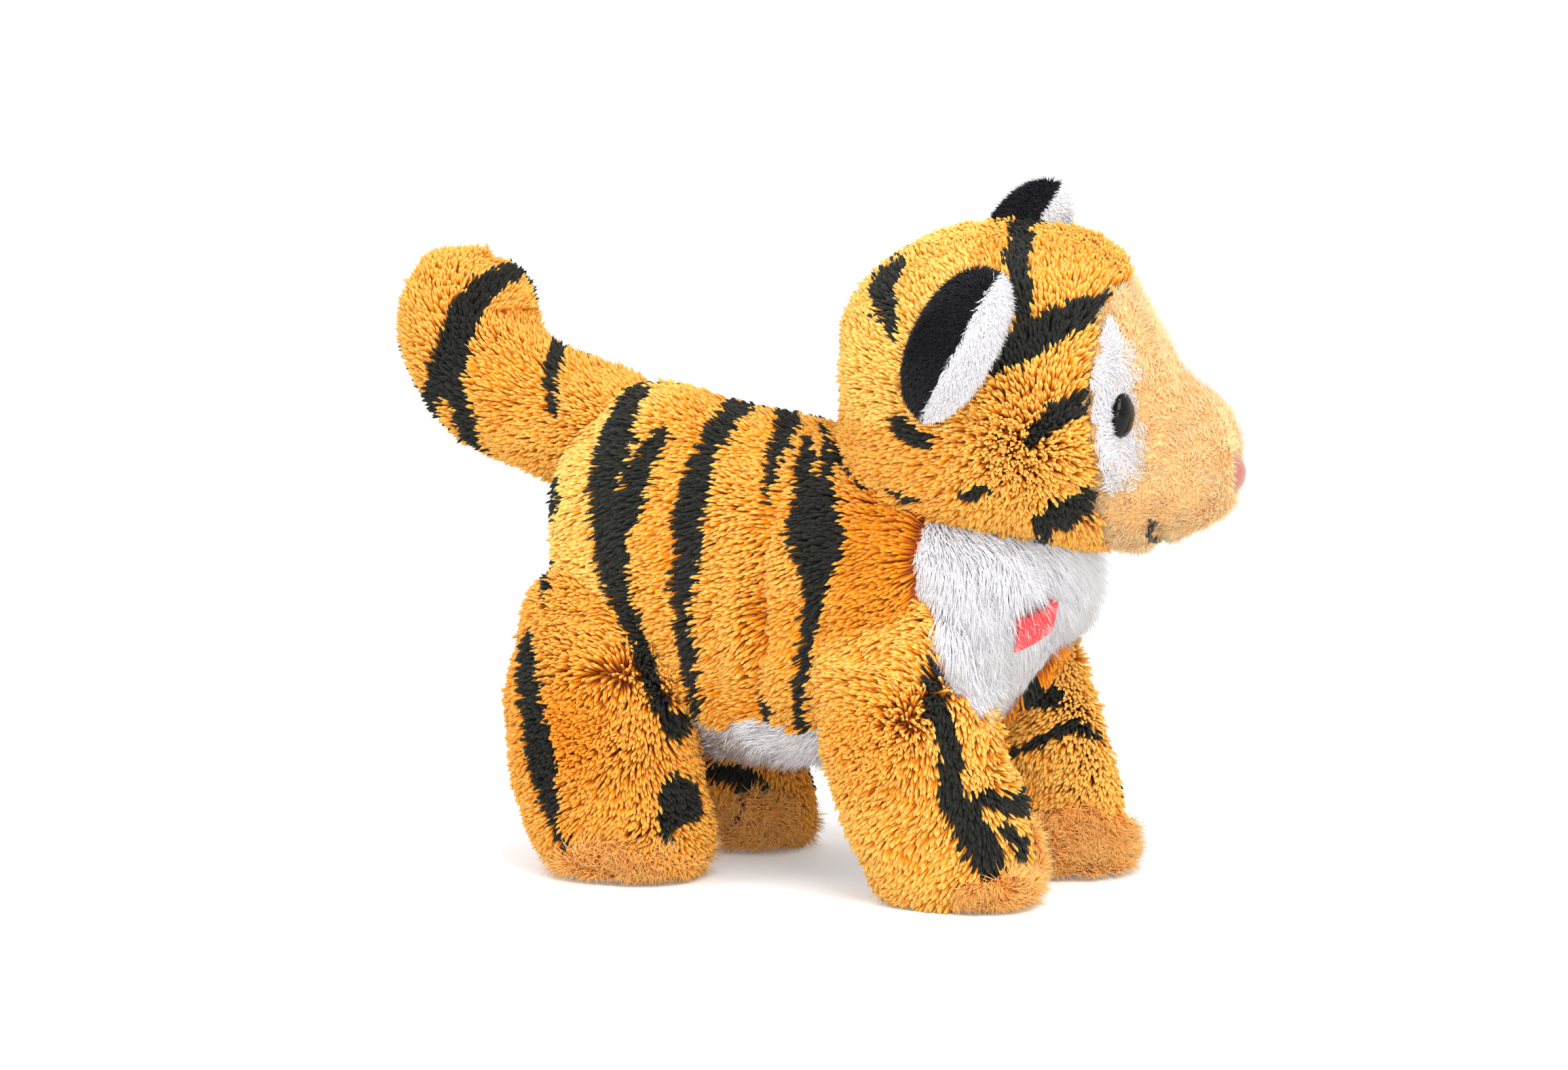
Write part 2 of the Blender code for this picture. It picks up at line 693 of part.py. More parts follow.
right_keep = box("right_keep", place(back_x, -side_y, -OVERRUN), place(bib_x - half_seam, -half_seam, top))
left_keep = box("left_keep", place(back_x, half_seam, -OVERRUN), place(bib_x - half_seam, side_y, top))
bib_keep = box("bib_keep", place(bib_x + half_seam, -side_y, -OVERRUN), place(front_x, side_y, top))

for name, keep, extra, panel_material in (
    ("side_panel_right", right_keep, [belly_zone], gold_fur),
    ("side_panel_left", left_keep, [belly_zone], gold_fur),
    ("belly_panel", belly_keep, [], white_fur),
    ("chest_bib", bib_keep, [], white_fur),
):
    panel = trunk_form(name, TIGER)
    combine(panel, keep, "INTERSECT")
    for cutter in trunk_rooms + extra + [trunk_inner]:
        combine(panel, cutter)
    finish(panel, panel_material, trunk_pivot)

trunk_core = trunk_form("trunk_stuffing", TIGER)
grow(trunk_core, -(COVER + SEAM_GAP))
for cutter in trunk_rooms:
    combine(trunk_core, cutter)
finish(trunk_core, stuffing, trunk_pivot)

# Bare fabric tab sewn in at the bib
tab_point = place(TRUNK_BACK_X + TRUNK_LENGTH, -TAB_SIDE, TAB_HEIGHT)
tab = box("fabric_tab", tab_point - Vector((TAB_LENGTH, TAB_THICKNESS / 2, TAB_WIDTH / 2)),
          tab_point + Vector((TAB_LENGTH / 2, TAB_THICKNESS / 2, TAB_WIDTH / 2)))
CUTTERS.objects.unlink(tab)
TIGER.objects.link(tab)
tab.hide_render = False
tab.display_type = "TEXTURED"
combine(tab, trunk_outer)
finish(tab, red_tape, trunk_pivot)

# Head panels
head_far = HEAD_LENGTH + OVERRUN
right_side_keep = head_box("right_side_keep", (-head_far, -head_far, -head_far),
                           (FACE_SEAM - half_seam, -half_seam, head_far))
left_side_keep = head_box("left_side_keep", (-head_far, half_seam, -head_far),
                          (FACE_SEAM - half_seam, head_far, head_far))
face_keep = head_box("face_keep", (FACE_SEAM + half_seam, -head_far, -head_far),
                     (head_far, head_far, head_far))

face_tree = BVHTree.FromObject(head_outer, bpy.context.evaluated_depsgraph_get())
eye_holes = []
washer_rooms = []
for side, side_name in ((-1, "right"), (1, "left")):
    outward = head_direction(EYE_TURN, side)
    surface = on_head(face_tree, head_point(EYE_FORWARD, side * EYE_SIDE, EYE_RISE), outward)
    stem_radius = EYE_STEM_DIAMETER / 2
    seat = PATCH_THICKNESS + EYE_STANDOFF
    eye_matrix = facing(surface, outward)
    dome = [(EYE_DIAMETER / 2 * math.sin(a), seat + EYE_DOME * math.cos(a))
            for a in np.linspace(0, math.pi / 2, DOME_STEPS)]
    stem = [(stem_radius, seat), (stem_radius, seat - EYE_STEM_LENGTH), (0, seat - EYE_STEM_LENGTH)]
    eye = turned(f"safety_eye_{side_name}", dome + stem, eye_matrix, TIGER)
    eye.data.materials.append(eye_plastic)
    hole = drum(f"eye_hole_{side_name}", stem_radius + SEAM_GAP, 2 * EYE_STEM_LENGTH + EYE_DIAMETER,
                eye_matrix, CUTTERS)
    eye_holes.append(hole)
    washer_middle = surface - outward * (COVER + 2 * EYE_STANDOFF + EYE_WASHER_THICKNESS / 2)
    washer_matrix = facing(washer_middle, outward)
    half = EYE_WASHER_THICKNESS / 2
    inner = stem_radius + SEAM_GAP
    outer = EYE_WASHER_DIAMETER / 2
    profile = [(inner, half), (outer, half), (outer, -half), (inner, -half)]
    washer = turned(f"eye_washer_{side_name}", profile, washer_matrix, TIGER, ring=True)
    washer.data.materials.append(clear_plastic)
    washer_rooms.append(drum(f"washer_room_{side_name}", outer + SEAM_GAP, 2 * (COVER + EYE_STANDOFF),
                             washer_matrix, CUTTERS))
    patch_middle = head_point(PATCH_FORWARD, side * PATCH_SIDE, PATCH_RISE)
    patch = pad_on_head(f"eye_patch_{side_name}", patch_middle, head_direction(PATCH_TURN, side),
                        PATCH_HEIGHT, PATCH_WIDTH, PATCH_THICKNESS, white_fur, head_outer)
    combine(patch, hole)

for name, keep, panel_material in (
    ("head_side_right", right_side_keep, gold_fur),
    ("head_side_left", left_side_keep, gold_fur),
    ("face_panel", face_keep, peach_fur),
):
    panel = head_form(name, TIGER)
    combine(panel, keep, "INTERSECT")
    combine(panel, head_inner)
    for cutter in eye_holes:
        combine(panel, cutter)
    finish(panel, panel_material, neck_pivot)

head_core = head_form("head_stuffing", TIGER)
grow(head_core, -(COVER + SEAM_GAP))
for cutter in eye_holes + washer_rooms:
    combine(head_core, cutter)
finish(head_core, stuffing, neck_pivot)

nose_middle = head_point(HEAD_LENGTH - HEAD_BACK, 0, NOSE_ABOVE_CHIN - HEAD_HEIGHT / 2)
pad_on_head("nose", nose_middle, head_direction(0, 1, NOSE_TILT),
            NOSE_HEIGHT, NOSE_WIDTH, NOSE_THICKNESS, nose_satin, head_outer)

# Mouth thread, laid on the muzzle's skin from corner to corner
mouth_points = []
for angle in np.linspace(-MOUTH_SPAN, MOUTH_SPAN, MOUTH_POINTS):
    rise = MOUTH_ABOVE_CHIN - HEAD_HEIGHT / 2 - MOUTH_SMILE * math.cos(math.radians(angle))
    middle = head_point(MOUTH_CENTRE, 0, rise)
    direction = head_direction(abs(angle), math.copysign(1, angle))
    mouth_points.append(on_head(face_tree, middle, direction, THREAD_RADIUS + SEAM_GAP))
thread = bpy.data.curves.new("mouth_stitch", "CURVE")
thread.dimensions = "3D"
thread.bevel_depth = THREAD_RADIUS
thread.bevel_resolution = 1
thread.use_fill_caps = True
line = thread.splines.new("POLY")
line.points.add(len(mouth_points) - 1)
for point, place_on_face in zip(line.points, mouth_points):
    point.co = (*(place_on_face - neck_pivot), 1)
mouth = bpy.data.objects.new("mouth_stitch", thread)
mouth.location = neck_pivot
TIGER.objects.link(mouth)
thread.materials.append(black_thread)

# Ears: a black back and a pale lining sewn together, folding about the seam on the head
for side, side_name, forward in ((-1, "right", -RIGHT_EAR_BACK), (1, "left", LEFT_EAR_FORWARD)):
    base = head_point(forward, side * EAR_SIDE, EAR_HEIGHT)
    lean = Matrix.Rotation(math.radians(EAR_LEAN), 3, "Y")
    splay = Matrix.Rotation(math.radians(side * EAR_SPLAY), 3, "X")
    ear_turn = head_axes() @ lean @ splay
    ear_matrix = Matrix.Translation(base) @ ear_turn.to_4x4()
    fold_axis = ear_turn @ Vector((0, 0, 1))
    ear_cutters = []
    for fold in (-EAR_FOLD, 0, EAR_FOLD):
        cutter = head_form(f"ear_base_{side_name}_{fold:.0f}", CUTTERS)
        cutter.data.transform(turning(base, fold_axis, fold))
        grow(cutter, SWING_GAP)
        ear_cutters.append(cutter)
    reach = EAR_LENGTH + OVERRUN
    for part_name, low, high, ear_material in (
        ("ear_back", -reach, EAR_SPLIT - half_seam, black_velour),
        ("ear_lining", EAR_SPLIT + half_seam, reach, white_fur),
    ):
        shape = bmesh.new()
        bmesh.ops.create_uvsphere(shape, u_segments=EAR_FACETS, v_segments=EAR_RINGS, radius=1.0)
        shape.transform(Matrix.Diagonal((EAR_DEPTH / 2, EAR_RISE, EAR_LENGTH / 2, 1)))
        shape.transform(ear_matrix)
        mesh = bpy.data.meshes.new(f"{part_name}_{side_name}")
        shape.to_mesh(mesh)
        shape.free()
        ear = new_object(f"{part_name}_{side_name}", mesh, TIGER)
        keep = box(f"{part_name}_{side_name}_keep", (low, -reach, -reach), (high, reach, reach))
        keep.data.transform(ear_matrix)
        combine(ear, keep, "INTERSECT")
        for cutter in ear_cutters:
            combine(ear, cutter)
        finish(ear, ear_material, base)
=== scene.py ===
# %% [markdown]
# A plush tiger, dressed for its picture. The frame holds the tiger's plain solids, its joints
# and its real sizes. This lesson builds what the eye sees over them: stuffed cloth forms worked
# out as surfaces of two parameters, and on them a pile of many thousand small tufts, each one a
# real little mesh. Everything is in metres, the tiger faces +X and stands on z = 0.
# %% Load the frame
import json
import math

import bpy
import numpy as np
from mathutils import Matrix


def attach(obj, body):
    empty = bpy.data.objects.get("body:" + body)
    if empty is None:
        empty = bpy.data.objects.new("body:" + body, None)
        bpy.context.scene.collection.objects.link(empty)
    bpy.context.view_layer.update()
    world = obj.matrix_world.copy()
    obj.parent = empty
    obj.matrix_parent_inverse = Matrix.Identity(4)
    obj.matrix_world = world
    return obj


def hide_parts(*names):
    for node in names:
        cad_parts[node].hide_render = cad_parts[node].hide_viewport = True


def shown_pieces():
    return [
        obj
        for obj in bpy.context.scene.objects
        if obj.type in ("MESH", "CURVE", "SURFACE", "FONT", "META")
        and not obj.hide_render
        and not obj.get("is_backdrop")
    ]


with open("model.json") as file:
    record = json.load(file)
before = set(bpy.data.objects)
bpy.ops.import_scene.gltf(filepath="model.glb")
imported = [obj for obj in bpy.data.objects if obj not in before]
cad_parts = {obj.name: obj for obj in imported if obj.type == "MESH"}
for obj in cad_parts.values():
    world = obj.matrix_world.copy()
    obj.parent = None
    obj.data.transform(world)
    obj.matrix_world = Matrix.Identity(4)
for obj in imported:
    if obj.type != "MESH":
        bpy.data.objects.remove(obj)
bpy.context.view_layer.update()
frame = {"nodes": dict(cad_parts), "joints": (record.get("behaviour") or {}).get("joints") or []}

MM = 0.001
JOINTS = {joint["name"]: joint for joint in frame["joints"]}

# %% [markdown]
# Every place starts from the frame. A joint's point says where a leg, the tail or the head is
# sewn on, and the trunk's middle plane lies half way between the two hips, so nothing here has to
# be moved by hand if the model is built again a little larger.
# %% Places that the frame gives
def joint_point(name):
    """The point of a joint at rest."""
    return np.array(JOINTS[name]["pos_m"], float)


HIPS = {name: joint_point(f"{name}_swing") for name in
        ("hind_leg_right", "hind_leg_left", "front_leg_right", "front_leg_left")}
TAIL_ROOT = joint_point("tail_swing")
HEAD_MIDDLE = joint_point("head_nod")
MIDDLE_Y = (HIPS["hind_leg_right"][1] + HIPS["hind_leg_left"][1]) / 2
NOD_AXIS = np.array(JOINTS["head_nod"]["axis"], float)
HEAD_YAW = math.atan2(-NOD_AXIS[0], NOD_AXIS[1])
print("middle plane y", round(MIDDLE_Y / MM, 2), "mm, head turned", round(math.degrees(HEAD_YAW), 1))

# %% [markdown]
# The camera comes first, because the markings are measured through it. It stands at the
# photograph's angle: a little in front of the tiger's right side, almost at its own height, with
# a long lens. The same numbers give a small function that turns points into the photograph's
# pixels, and that is how a stripe seen in the picture finds its tufts.
# %% Camera
PHOTO_WIDTH = 2310
PHOTO_HEIGHT = 1576
LENS = 100.0
SENSOR = 36.0
CAMERA_AZIMUTH = math.radians(28.0)
CAMERA_ELEVATION = math.radians(4.7)
CAMERA_DISTANCE = 1220.0 * MM
AIM_BACK = 50.0 * MM
AIM_HEIGHT = 94.3 * MM
AIM = np.array([HIPS["front_leg_right"][0] - AIM_BACK, MIDDLE_Y, AIM_HEIGHT])
BACKWARD = np.array([math.sin(CAMERA_AZIMUTH) * math.cos(CAMERA_ELEVATION),
                     -math.cos(CAMERA_AZIMUTH) * math.cos(CAMERA_ELEVATION),
                     math.sin(CAMERA_ELEVATION)])
RIGHTWARD = np.array([math.cos(CAMERA_AZIMUTH), math.sin(CAMERA_AZIMUTH), 0.0])
UPWARD = np.cross(BACKWARD, RIGHTWARD)
EYE_POINT = AIM + BACKWARD * CAMERA_DISTANCE
TINY = 1e-9


def unit(vectors):
    """Vectors made one long."""
    return vectors / np.maximum(np.linalg.norm(vectors, axis=-1, keepdims=True), TINY)


def stood(thing, right, back, place):
    """Link a thing to the scene with its own axes along right, up and back."""
    bpy.context.scene.collection.objects.link(thing)
    axes = np.column_stack([right, np.cross(back, right), back, place])
    thing.matrix_world = Matrix(np.vstack([axes, [0, 0, 0, 1]]).tolist())


camera_data = bpy.data.cameras.new("camera")
camera_data.lens = LENS
camera_data.sensor_width = SENSOR
camera_data.clip_start = 0.05
camera_data.clip_end = 60.0
camera = bpy.data.objects.new("camera", camera_data)
stood(camera, RIGHTWARD, BACKWARD, EYE_POINT)
bpy.context.scene.camera = camera


def photo_pixels(points):
    """Pixels of the photograph that points fall on: a pinhole's similar triangles."""
    away = points - EYE_POINT
    depth = -(away @ BACKWARD)
    scale = PHOTO_WIDTH * LENS / SENSOR
    return np.stack([PHOTO_WIDTH / 2 + scale * (away @ RIGHTWARD) / depth,
                     PHOTO_HEIGHT / 2 - scale * (away @ UPWARD) / depth], axis=-1)


def in_view(points, normals):
    """True where the outward side of a place faces the camera."""
    return ((EYE_POINT - points) * normals).sum(axis=1) > 0


print("camera stands at", EYE_POINT.round(3))

# %% [markdown]
# The light is a plain white studio: an even glow from all round and three large soft lamps. The
# floor and the world turn full white for the camera, for mirrors and for glass only, so the
# background is white while the tiger is lit at a level where a colour looks as it is written.
# %% Light, world and floor
WORLD_GLOW = 0.95
FLOOR_WHITE = 0.9
FLOOR_SEEN = 1.02
FLOOR_HALF = 12.0
LAMPS = [
    # name, place, height that it looks at, side of its square, power in watts
    ("key_lamp", (0.75, -0.55, 1.05), 0.09, 0.9, 15.0),
    ("fill_lamp", (-0.85, -0.9, 0.75), 0.09, 0.9, 7.0),
    ("low_lamp", (1.4, -2.2, 0.28), 0.07, 1.4, 26.0),
]


def feed(tree, socket, value):
    """Link a socket to an input, or give the input a plain value."""
    if hasattr(value, "is_output"):
        tree.links.new(value, socket)
    else:
        socket.default_value = value


def arithmetic(tree, operation, *values, clamp=False):
    """One Math node; each input is a socket or a plain value."""
    made = tree.nodes.new("ShaderNodeMath")
    made.operation = operation
    made.use_clamp = clamp
    for socket, value in zip(made.inputs, values):
        feed(tree, socket, value)
    return made.outputs[0]


def seen_directly(tree):
    """One for camera, glossy and transmission rays, nought for the rays that light things."""
    rays = tree.nodes.new("ShaderNodeLightPath").outputs
    either = arithmetic(tree, "MAXIMUM", rays["Is Camera Ray"], rays["Is Glossy Ray"])
    return arithmetic(tree, "MAXIMUM", either, rays["Is Transmission Ray"])


def plain_material(name, colour, roughness, specular=0.5, sheen=0.0):
    """A Principled material with uniform values."""
    made = bpy.data.materials.new(name)
    made.use_nodes = True
    shader = made.node_tree.nodes["Principled BSDF"].inputs
    shader["Base Color"].default_value = (*colour, 1.0)
    shader["Roughness"].default_value = roughness
    shader["Specular IOR Level"].default_value = specular
    shader["Sheen Weight"].default_value = sheen
    return made


world = bpy.data.worlds.new("white_studio")
bpy.context.scene.world = world
world.use_nodes = True
tree = world.node_tree
glow = tree.nodes["Background"].inputs
glow["Color"].default_value = (1.0, 1.0, 1.0, 1.0)
feed(tree, glow["Strength"],
     arithmetic(tree, "MULTIPLY_ADD", seen_directly(tree), 1 - WORLD_GLOW, WORLD_GLOW))

for name, place, aim_height, size, power in LAMPS:
    data = bpy.data.lights.new(name, "AREA")
    data.size = size
    data.energy = power
    back = unit(np.array(place) - [0.0, 0.0, aim_height])
    stood(bpy.data.objects.new(name, data), unit(np.cross([0.0, 0.0, 1.0], back)), back, place)

bpy.ops.mesh.primitive_plane_add(size=2 * FLOOR_HALF)
floor = bpy.context.object
floor.name = "studio_floor"
floor.data.materials.append(plain_material("studio_floor", (FLOOR_WHITE, FLOOR_WHITE, FLOOR_WHITE), 0.6, 0.2))
tree = floor.data.materials[0].node_tree
shader = tree.nodes["Principled BSDF"].inputs
shader["Emission Color"].default_value = (1.0, 1.0, 1.0, 1.0)
feed(tree, shader["Emission Strength"],
     arithmetic(tree, "MULTIPLY", seen_directly(tree), FLOOR_SEEN - FLOOR_WHITE * WORLD_GLOW))
floor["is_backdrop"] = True
bpy.context.scene.view_settings.view_transform = "Standard"
print("world glow", WORLD_GLOW, "lamps", [lamp[0] for lamp in LAMPS])

# %% [markdown]
# A stuffed form is a row of rounded rings. Its table holds shares of the real sizes, a smooth
# Catmull-Rom curve runs through the rows, and a ring is a superellipse, a little squarer than an
# ellipse as packed cloth is. So every form is a function of two numbers: how far along it, and
# how far round it.
# %% Helpers for forms
ROUNDNESS = 2.2


def curve_at(rows, along):
    """Catmull-Rom curve through the rows, read at any shares along it."""
    rows = np.asarray(rows, float)
    padded = np.vstack([2 * rows[0] - rows[1], rows, 2 * rows[-1] - rows[-2]])
    steps = np.clip(along, 0, 1) * (len(rows) - 1)
    first = np.minimum(steps.astype(int), len(rows) - 2)
    t = (steps - first)[..., None]
    before, here, there, after = (padded[first + k] for k in range(4))
    value = 2 * here + (there - before) * t
    value = value + (2 * before - 5 * here + 4 * there - after) * t ** 2
    value = value + (3 * here - before - 3 * there + after) * t ** 3
    return value / 2


def ring_at(around):
    """Cosine and sine of the angle round a ring, each raised to make a superellipse."""
    angle = 2 * math.pi * around
    power = 2.0 / ROUNDNESS
    across = np.sign(np.cos(angle)) * np.abs(np.cos(angle)) ** power
    upward = np.sign(np.sin(angle)) * np.abs(np.sin(angle)) ** power
    return across, upward


def outward(form, along, around):
    """Unit normals of a form, the cross product of its two slopes."""
    step = 0.003
    down = form(np.clip(along + step, 0, 1), around) - form(np.clip(along - step, 0, 1), around)
    turn = form(along, around + step) - form(along, around - step)
    normals = unit(np.cross(turn, down)) * form.facing
    if form.curled:
        across = form(along, around) - form(along, around + 0.5)
        normals = unit(normals * np.sign((normals * across).sum(axis=-1, keepdims=True)) + unit(across))
    return normals


def wander(points, size, seed):
    """Smooth noise from -1 to 1 in hills of about that size: a sum of seeded plane waves."""
    random = np.random.default_rng(seed)
    waves = unit(random.normal(size=(8, 3))) * (2 * math.pi / size) * random.uniform(0.6, 1.4, (8, 1))
    phases = random.uniform(0, 2 * math.pi, 8)
    return np.clip(np.sin(points @ waves.T + phases).sum(axis=1) / 3.0, -1, 1)


def linked_piece(name, mesh, material):
    """The object of a finished mesh, at the origin, smooth and in one material."""
    mesh.shade_smooth()
    mesh.materials.append(material)
    made = bpy.data.objects.new(name, mesh)
    bpy.context.scene.collection.objects.link(made)
    return made


def mesh_piece(name, points, faces, material):
    """A new object at the origin from arrays of corners and faces."""
    mesh = bpy.data.meshes.new(name)
    mesh.from_pydata(points.tolist(), [], faces)
    return linked_piece(name, mesh, material)


def spokes(side, other, count):
    """A ring's unit spokes: cosine and sine shares of two ways that are square to each other."""
    angle = 2 * math.pi * np.arange(count) / count
    return np.cos(angle)[:, None] * side[..., None, :] + np.sin(angle)[:, None] * other[..., None, :]


def ring_quads(index):
    """Quads between rows of corner numbers, each row closed round."""
    near, far = index[:-1], index[1:]
    return np.stack([near, np.roll(near, -1, 1), np.roll(far, -1, 1), far], -1).reshape(-1, 4).tolist()


def fan(ring, pole):
    """Triangles from a ring of corner numbers to one corner."""
    return np.stack([ring, np.roll(ring, -1), np.full(len(ring), pole)], -1).tolist()


def closed_piece(name, rings, poles, material, facing=1.0):
    """A closed skin: rings of corners with quads between them and a fan to a pole at each end."""
    count, facets = rings.shape[:2]
    index = np.arange(count * facets).reshape(count, facets)
    faces = ring_quads(index) + fan(index[0][::-1], index.size) + fan(index[-1], index.size + 1)
    if facing < 0:
        faces = [face[::-1] for face in faces]
    points = np.vstack([rings.reshape(-1, 3), poles])
    print(name, len(faces), "faces, box in mm", (points.min(0) / MM).round(1), (points.max(0) / MM).round(1))
    return mesh_piece(name, points, faces, material)

# %% [markdown]
# The tables below are the pattern pieces. The trunk is a barrel, high over the rump and low at
# the chest. A leg is a column that widens into a foot. The tail is a tube that curls up to a
# round tip, and the head is a ball with a broad muzzle drawn out of it.
# %% Pattern sizes and shares
TRUNK_LENGTH = 155.0 * MM
TRUNK_HEIGHT = 110.0 * MM
TRUNK_WIDTH = 84.0 * MM
TRUNK_BACK = HIPS["hind_leg_right"][0] - 25.0 * MM
BELLY_HEIGHT = 28.0 * MM
TRUNK_SHARES = [
    (0.0, 0.655, 0.545, 0.0),
    (0.013, 0.809, 0.345, 0.238),
    (0.065, 0.927, 0.191, 0.393),
    (0.174, 1.0, 0.064, 0.476),
    (0.329, 0.964, 0.009, 0.5),
    (0.49, 0.909, 0.0, 0.5),
    (0.645, 0.882, 0.027, 0.5),
    (0.787, 0.836, 0.091, 0.476),
    (0.903, 0.745, 0.182, 0.405),
    (0.981, 0.636, 0.291, 0.262),
    (1.0, 0.509, 0.455, 0.0),
]
LEG_LENGTH = 58.0 * MM
LEG_WIDTH = 40.0 * MM
HIND_LEG_HEIGHT = 88.0 * MM
HIND_FOOT_FORWARD = 10.0 * MM
FRONT_LEG_HEIGHT = 90.0 * MM
FRONT_FOOT_FORWARD = 18.5 * MM
HIND_LEG_SHARES = [
    (1.0, 0.0, 0.13, 0.0, 0.0),
    (0.966, 0.0, 0.13, 0.224, 0.2),
    (0.875, 0.0, 0.097, 0.397, 0.325),
    (0.68, 0.02, 0.065, 0.495, 0.425),
    (0.51, 0.0, 0.032, 0.510, 0.475),
    (0.318, 0.3, 0.0, 0.490, 0.5),
    (0.136, 0.75, -0.016, 0.448, 0.512),
    (0.036, 0.95, -0.032, 0.379, 0.45),
    (0.0, 1.0, -0.032, 0.290, 0.34),
]
FRONT_LEG_SHARES = [
    (1.0, -0.054, 0.13, 0.0, 0.0),
    (0.966, -0.054, 0.13, 0.224, 0.2),
    (0.878, -0.054, 0.097, 0.379, 0.325),
    (0.69, 0.0, 0.065, 0.466, 0.425),
    (0.5, 0.27, 0.032, 0.483, 0.475),
    (0.311, 0.595, 0.0, 0.483, 0.5),
    (0.133, 0.892, -0.016, 0.448, 0.512),
    (0.033, 0.973, -0.032, 0.397, 0.45),
    (0.0, 1.0, -0.032, 0.345, 0.375),
]
TAIL_RADIUS = 19.0 * MM
TAIL_REACH = 54.0 * MM
TAIL_RISE = 52.0 * MM
TAIL_SHARES = [
    (-0.26, -0.12, 0.6),
    (0.0, 0.0, 0.95),
    (0.26, 0.067, 0.97),
    (0.556, 0.163, 1.0),
    (0.796, 0.337, 1.053),
    (0.935, 0.567, 1.026),
    (0.92, 0.77, 0.947),
    (0.895, 0.92, 0.7),
    (0.88, 1.0, 0.0),
]
HEAD_LENGTH = 114.0 * MM
HEAD_HEIGHT = 92.0 * MM
HEAD_WIDTH = 98.0 * MM
HEAD_BACK = 43.0 * MM
HEAD_ROLL = math.radians(12.0)
HEAD_SHARES = [
    (0.0, 0.065, -0.065, 0.0),
    (0.018, 0.217, -0.228, 0.204),
    (0.088, 0.348, -0.37, 0.347),
    (0.219, 0.457, -0.467, 0.459),
    (0.377, 0.495, -0.5, 0.5),
    (0.553, 0.473, -0.5, 0.48),
    (0.658, 0.402, -0.489, 0.408),
    (0.737, 0.261, -0.478, 0.327),
    (0.816, 0.098, -0.467, 0.286),
    (0.886, 0.005, -0.446, 0.265),
    (0.947, -0.065, -0.402, 0.214),
    (0.991, -0.152, -0.337, 0.112),
    (1.0, -0.217, -0.283, 0.0),
]
FINE_STEPS = 220

# %% [markdown]
# Each form also answers a second question: how deep inside it does a point lie? The answer lets
# the pile stop where one stuffed form presses on another.
# %% The forms
PILE_HEIGHT = 4.6 * MM
FACE_PILE_HEIGHT = 1.6 * MM
FACE_SEAM = 31.0 * MM
SEAM_BOW = 5.0 * MM
SEAM_BOW_WIDTH = 16.0 * MM
SEAM_REACH = 6.0 * MM


def turn_matrix(angle, axis):
    """Rotation about one axis, by its sine and cosine."""
    c, s = math.cos(angle), math.sin(angle)
    first, second = [(1, 2), (2, 0), (0, 1)]["XYZ".index(axis)]
    matrix = np.eye(3)
    matrix[first, first] = matrix[second, second] = c
    matrix[first, second] = -s
    matrix[second, first] = s
    return matrix


def as_form(points, ends, depth, curled=False, pile=PILE_HEIGHT):
    """Give a form its ends, its depth test, its pile's height and the side its normals face."""
    points.ends = ends
    points.depth = depth
    points.curled = curled
    points.pile = pile
    points.facing = 1.0
    along = np.full(16, 0.5)
    around = np.arange(16) / 16
    ring = points(along, around)
    away = ring - ring.mean(axis=0)
    points.facing = 1.0 if (outward(points, along, around) * away).sum() > 0 else -1.0
    return points


def ring_depth(across, upward, half_across, half_upward):
    """How deep a point lies in a rounded ring: its shortfall from the rim on the short side."""
    short = np.maximum(np.minimum(half_across, half_upward), TINY)
    reach = np.abs(across) / np.maximum(half_across, TINY)
    rise = np.abs(upward) / np.maximum(half_upward, TINY)
    return (1 - (reach ** ROUNDNESS + rise ** ROUNDNESS) ** (1 / ROUNDNESS)) * short


def column(table, positions):
    """Read every column of a fine table at positions along its first column."""
    table = table[np.argsort(table[:, 0])]
    return [np.interp(positions, table[:, 0], table[:, k], left=0, right=0) for k in range(table.shape[1])]


TRUNK_FINE = curve_at(TRUNK_SHARES, np.linspace(0, 1, FINE_STEPS))
FOLD_X = HIPS["front_leg_right"][0] - 37.0 * MM
FOLD_HEIGHT = 75.0 * MM
FOLD_DEPTH = 3.0 * MM
FOLD_WIDTH = 4.0 * MM
FOLD_RISE = 26.0 * MM
FOLD_LEAN = 0.08
CHEST_PRESS = 5.0 * MM
CHEST_PLACE = (84.0 * MM, 62.0 * MM)
CHEST_REACH = (14.0 * MM, 15.0 * MM)


def fold_share(x, z):
    """How much of the flank's fold falls on a place seen from the side: one in its middle."""
    return np.exp(-((x - FOLD_X - FOLD_LEAN * (z - FOLD_HEIGHT)) / FOLD_WIDTH) ** 2
                  - ((z - FOLD_HEIGHT) / FOLD_RISE) ** 2)


def chest_press(x, z):
    """How far the low front of the chest is pressed back: a bell round one place of its outline."""
    return CHEST_PRESS * np.exp(-((x - CHEST_PLACE[0]) / CHEST_REACH[0]) ** 2
                                - ((z - CHEST_PLACE[1]) / CHEST_REACH[1]) ** 2)


def trunk_points(along, around):
    """Rings stood up across the trunk's length, with a fold in each flank and a press at the chest."""
    rows = curve_at(TRUNK_SHARES, along)
    across, upward = ring_at(around)
    top = BELLY_HEIGHT + rows[..., 1] * TRUNK_HEIGHT
    bottom = BELLY_HEIGHT + rows[..., 2] * TRUNK_HEIGHT
    x = TRUNK_BACK + rows[..., 0] * TRUNK_LENGTH
    z = (top + bottom) / 2 + upward * (top - bottom) / 2
    y = MIDDLE_Y + across * (rows[..., 3] * TRUNK_WIDTH - FOLD_DEPTH * fold_share(x, z))
    return np.stack([x - chest_press(x, z), y, z], axis=-1)


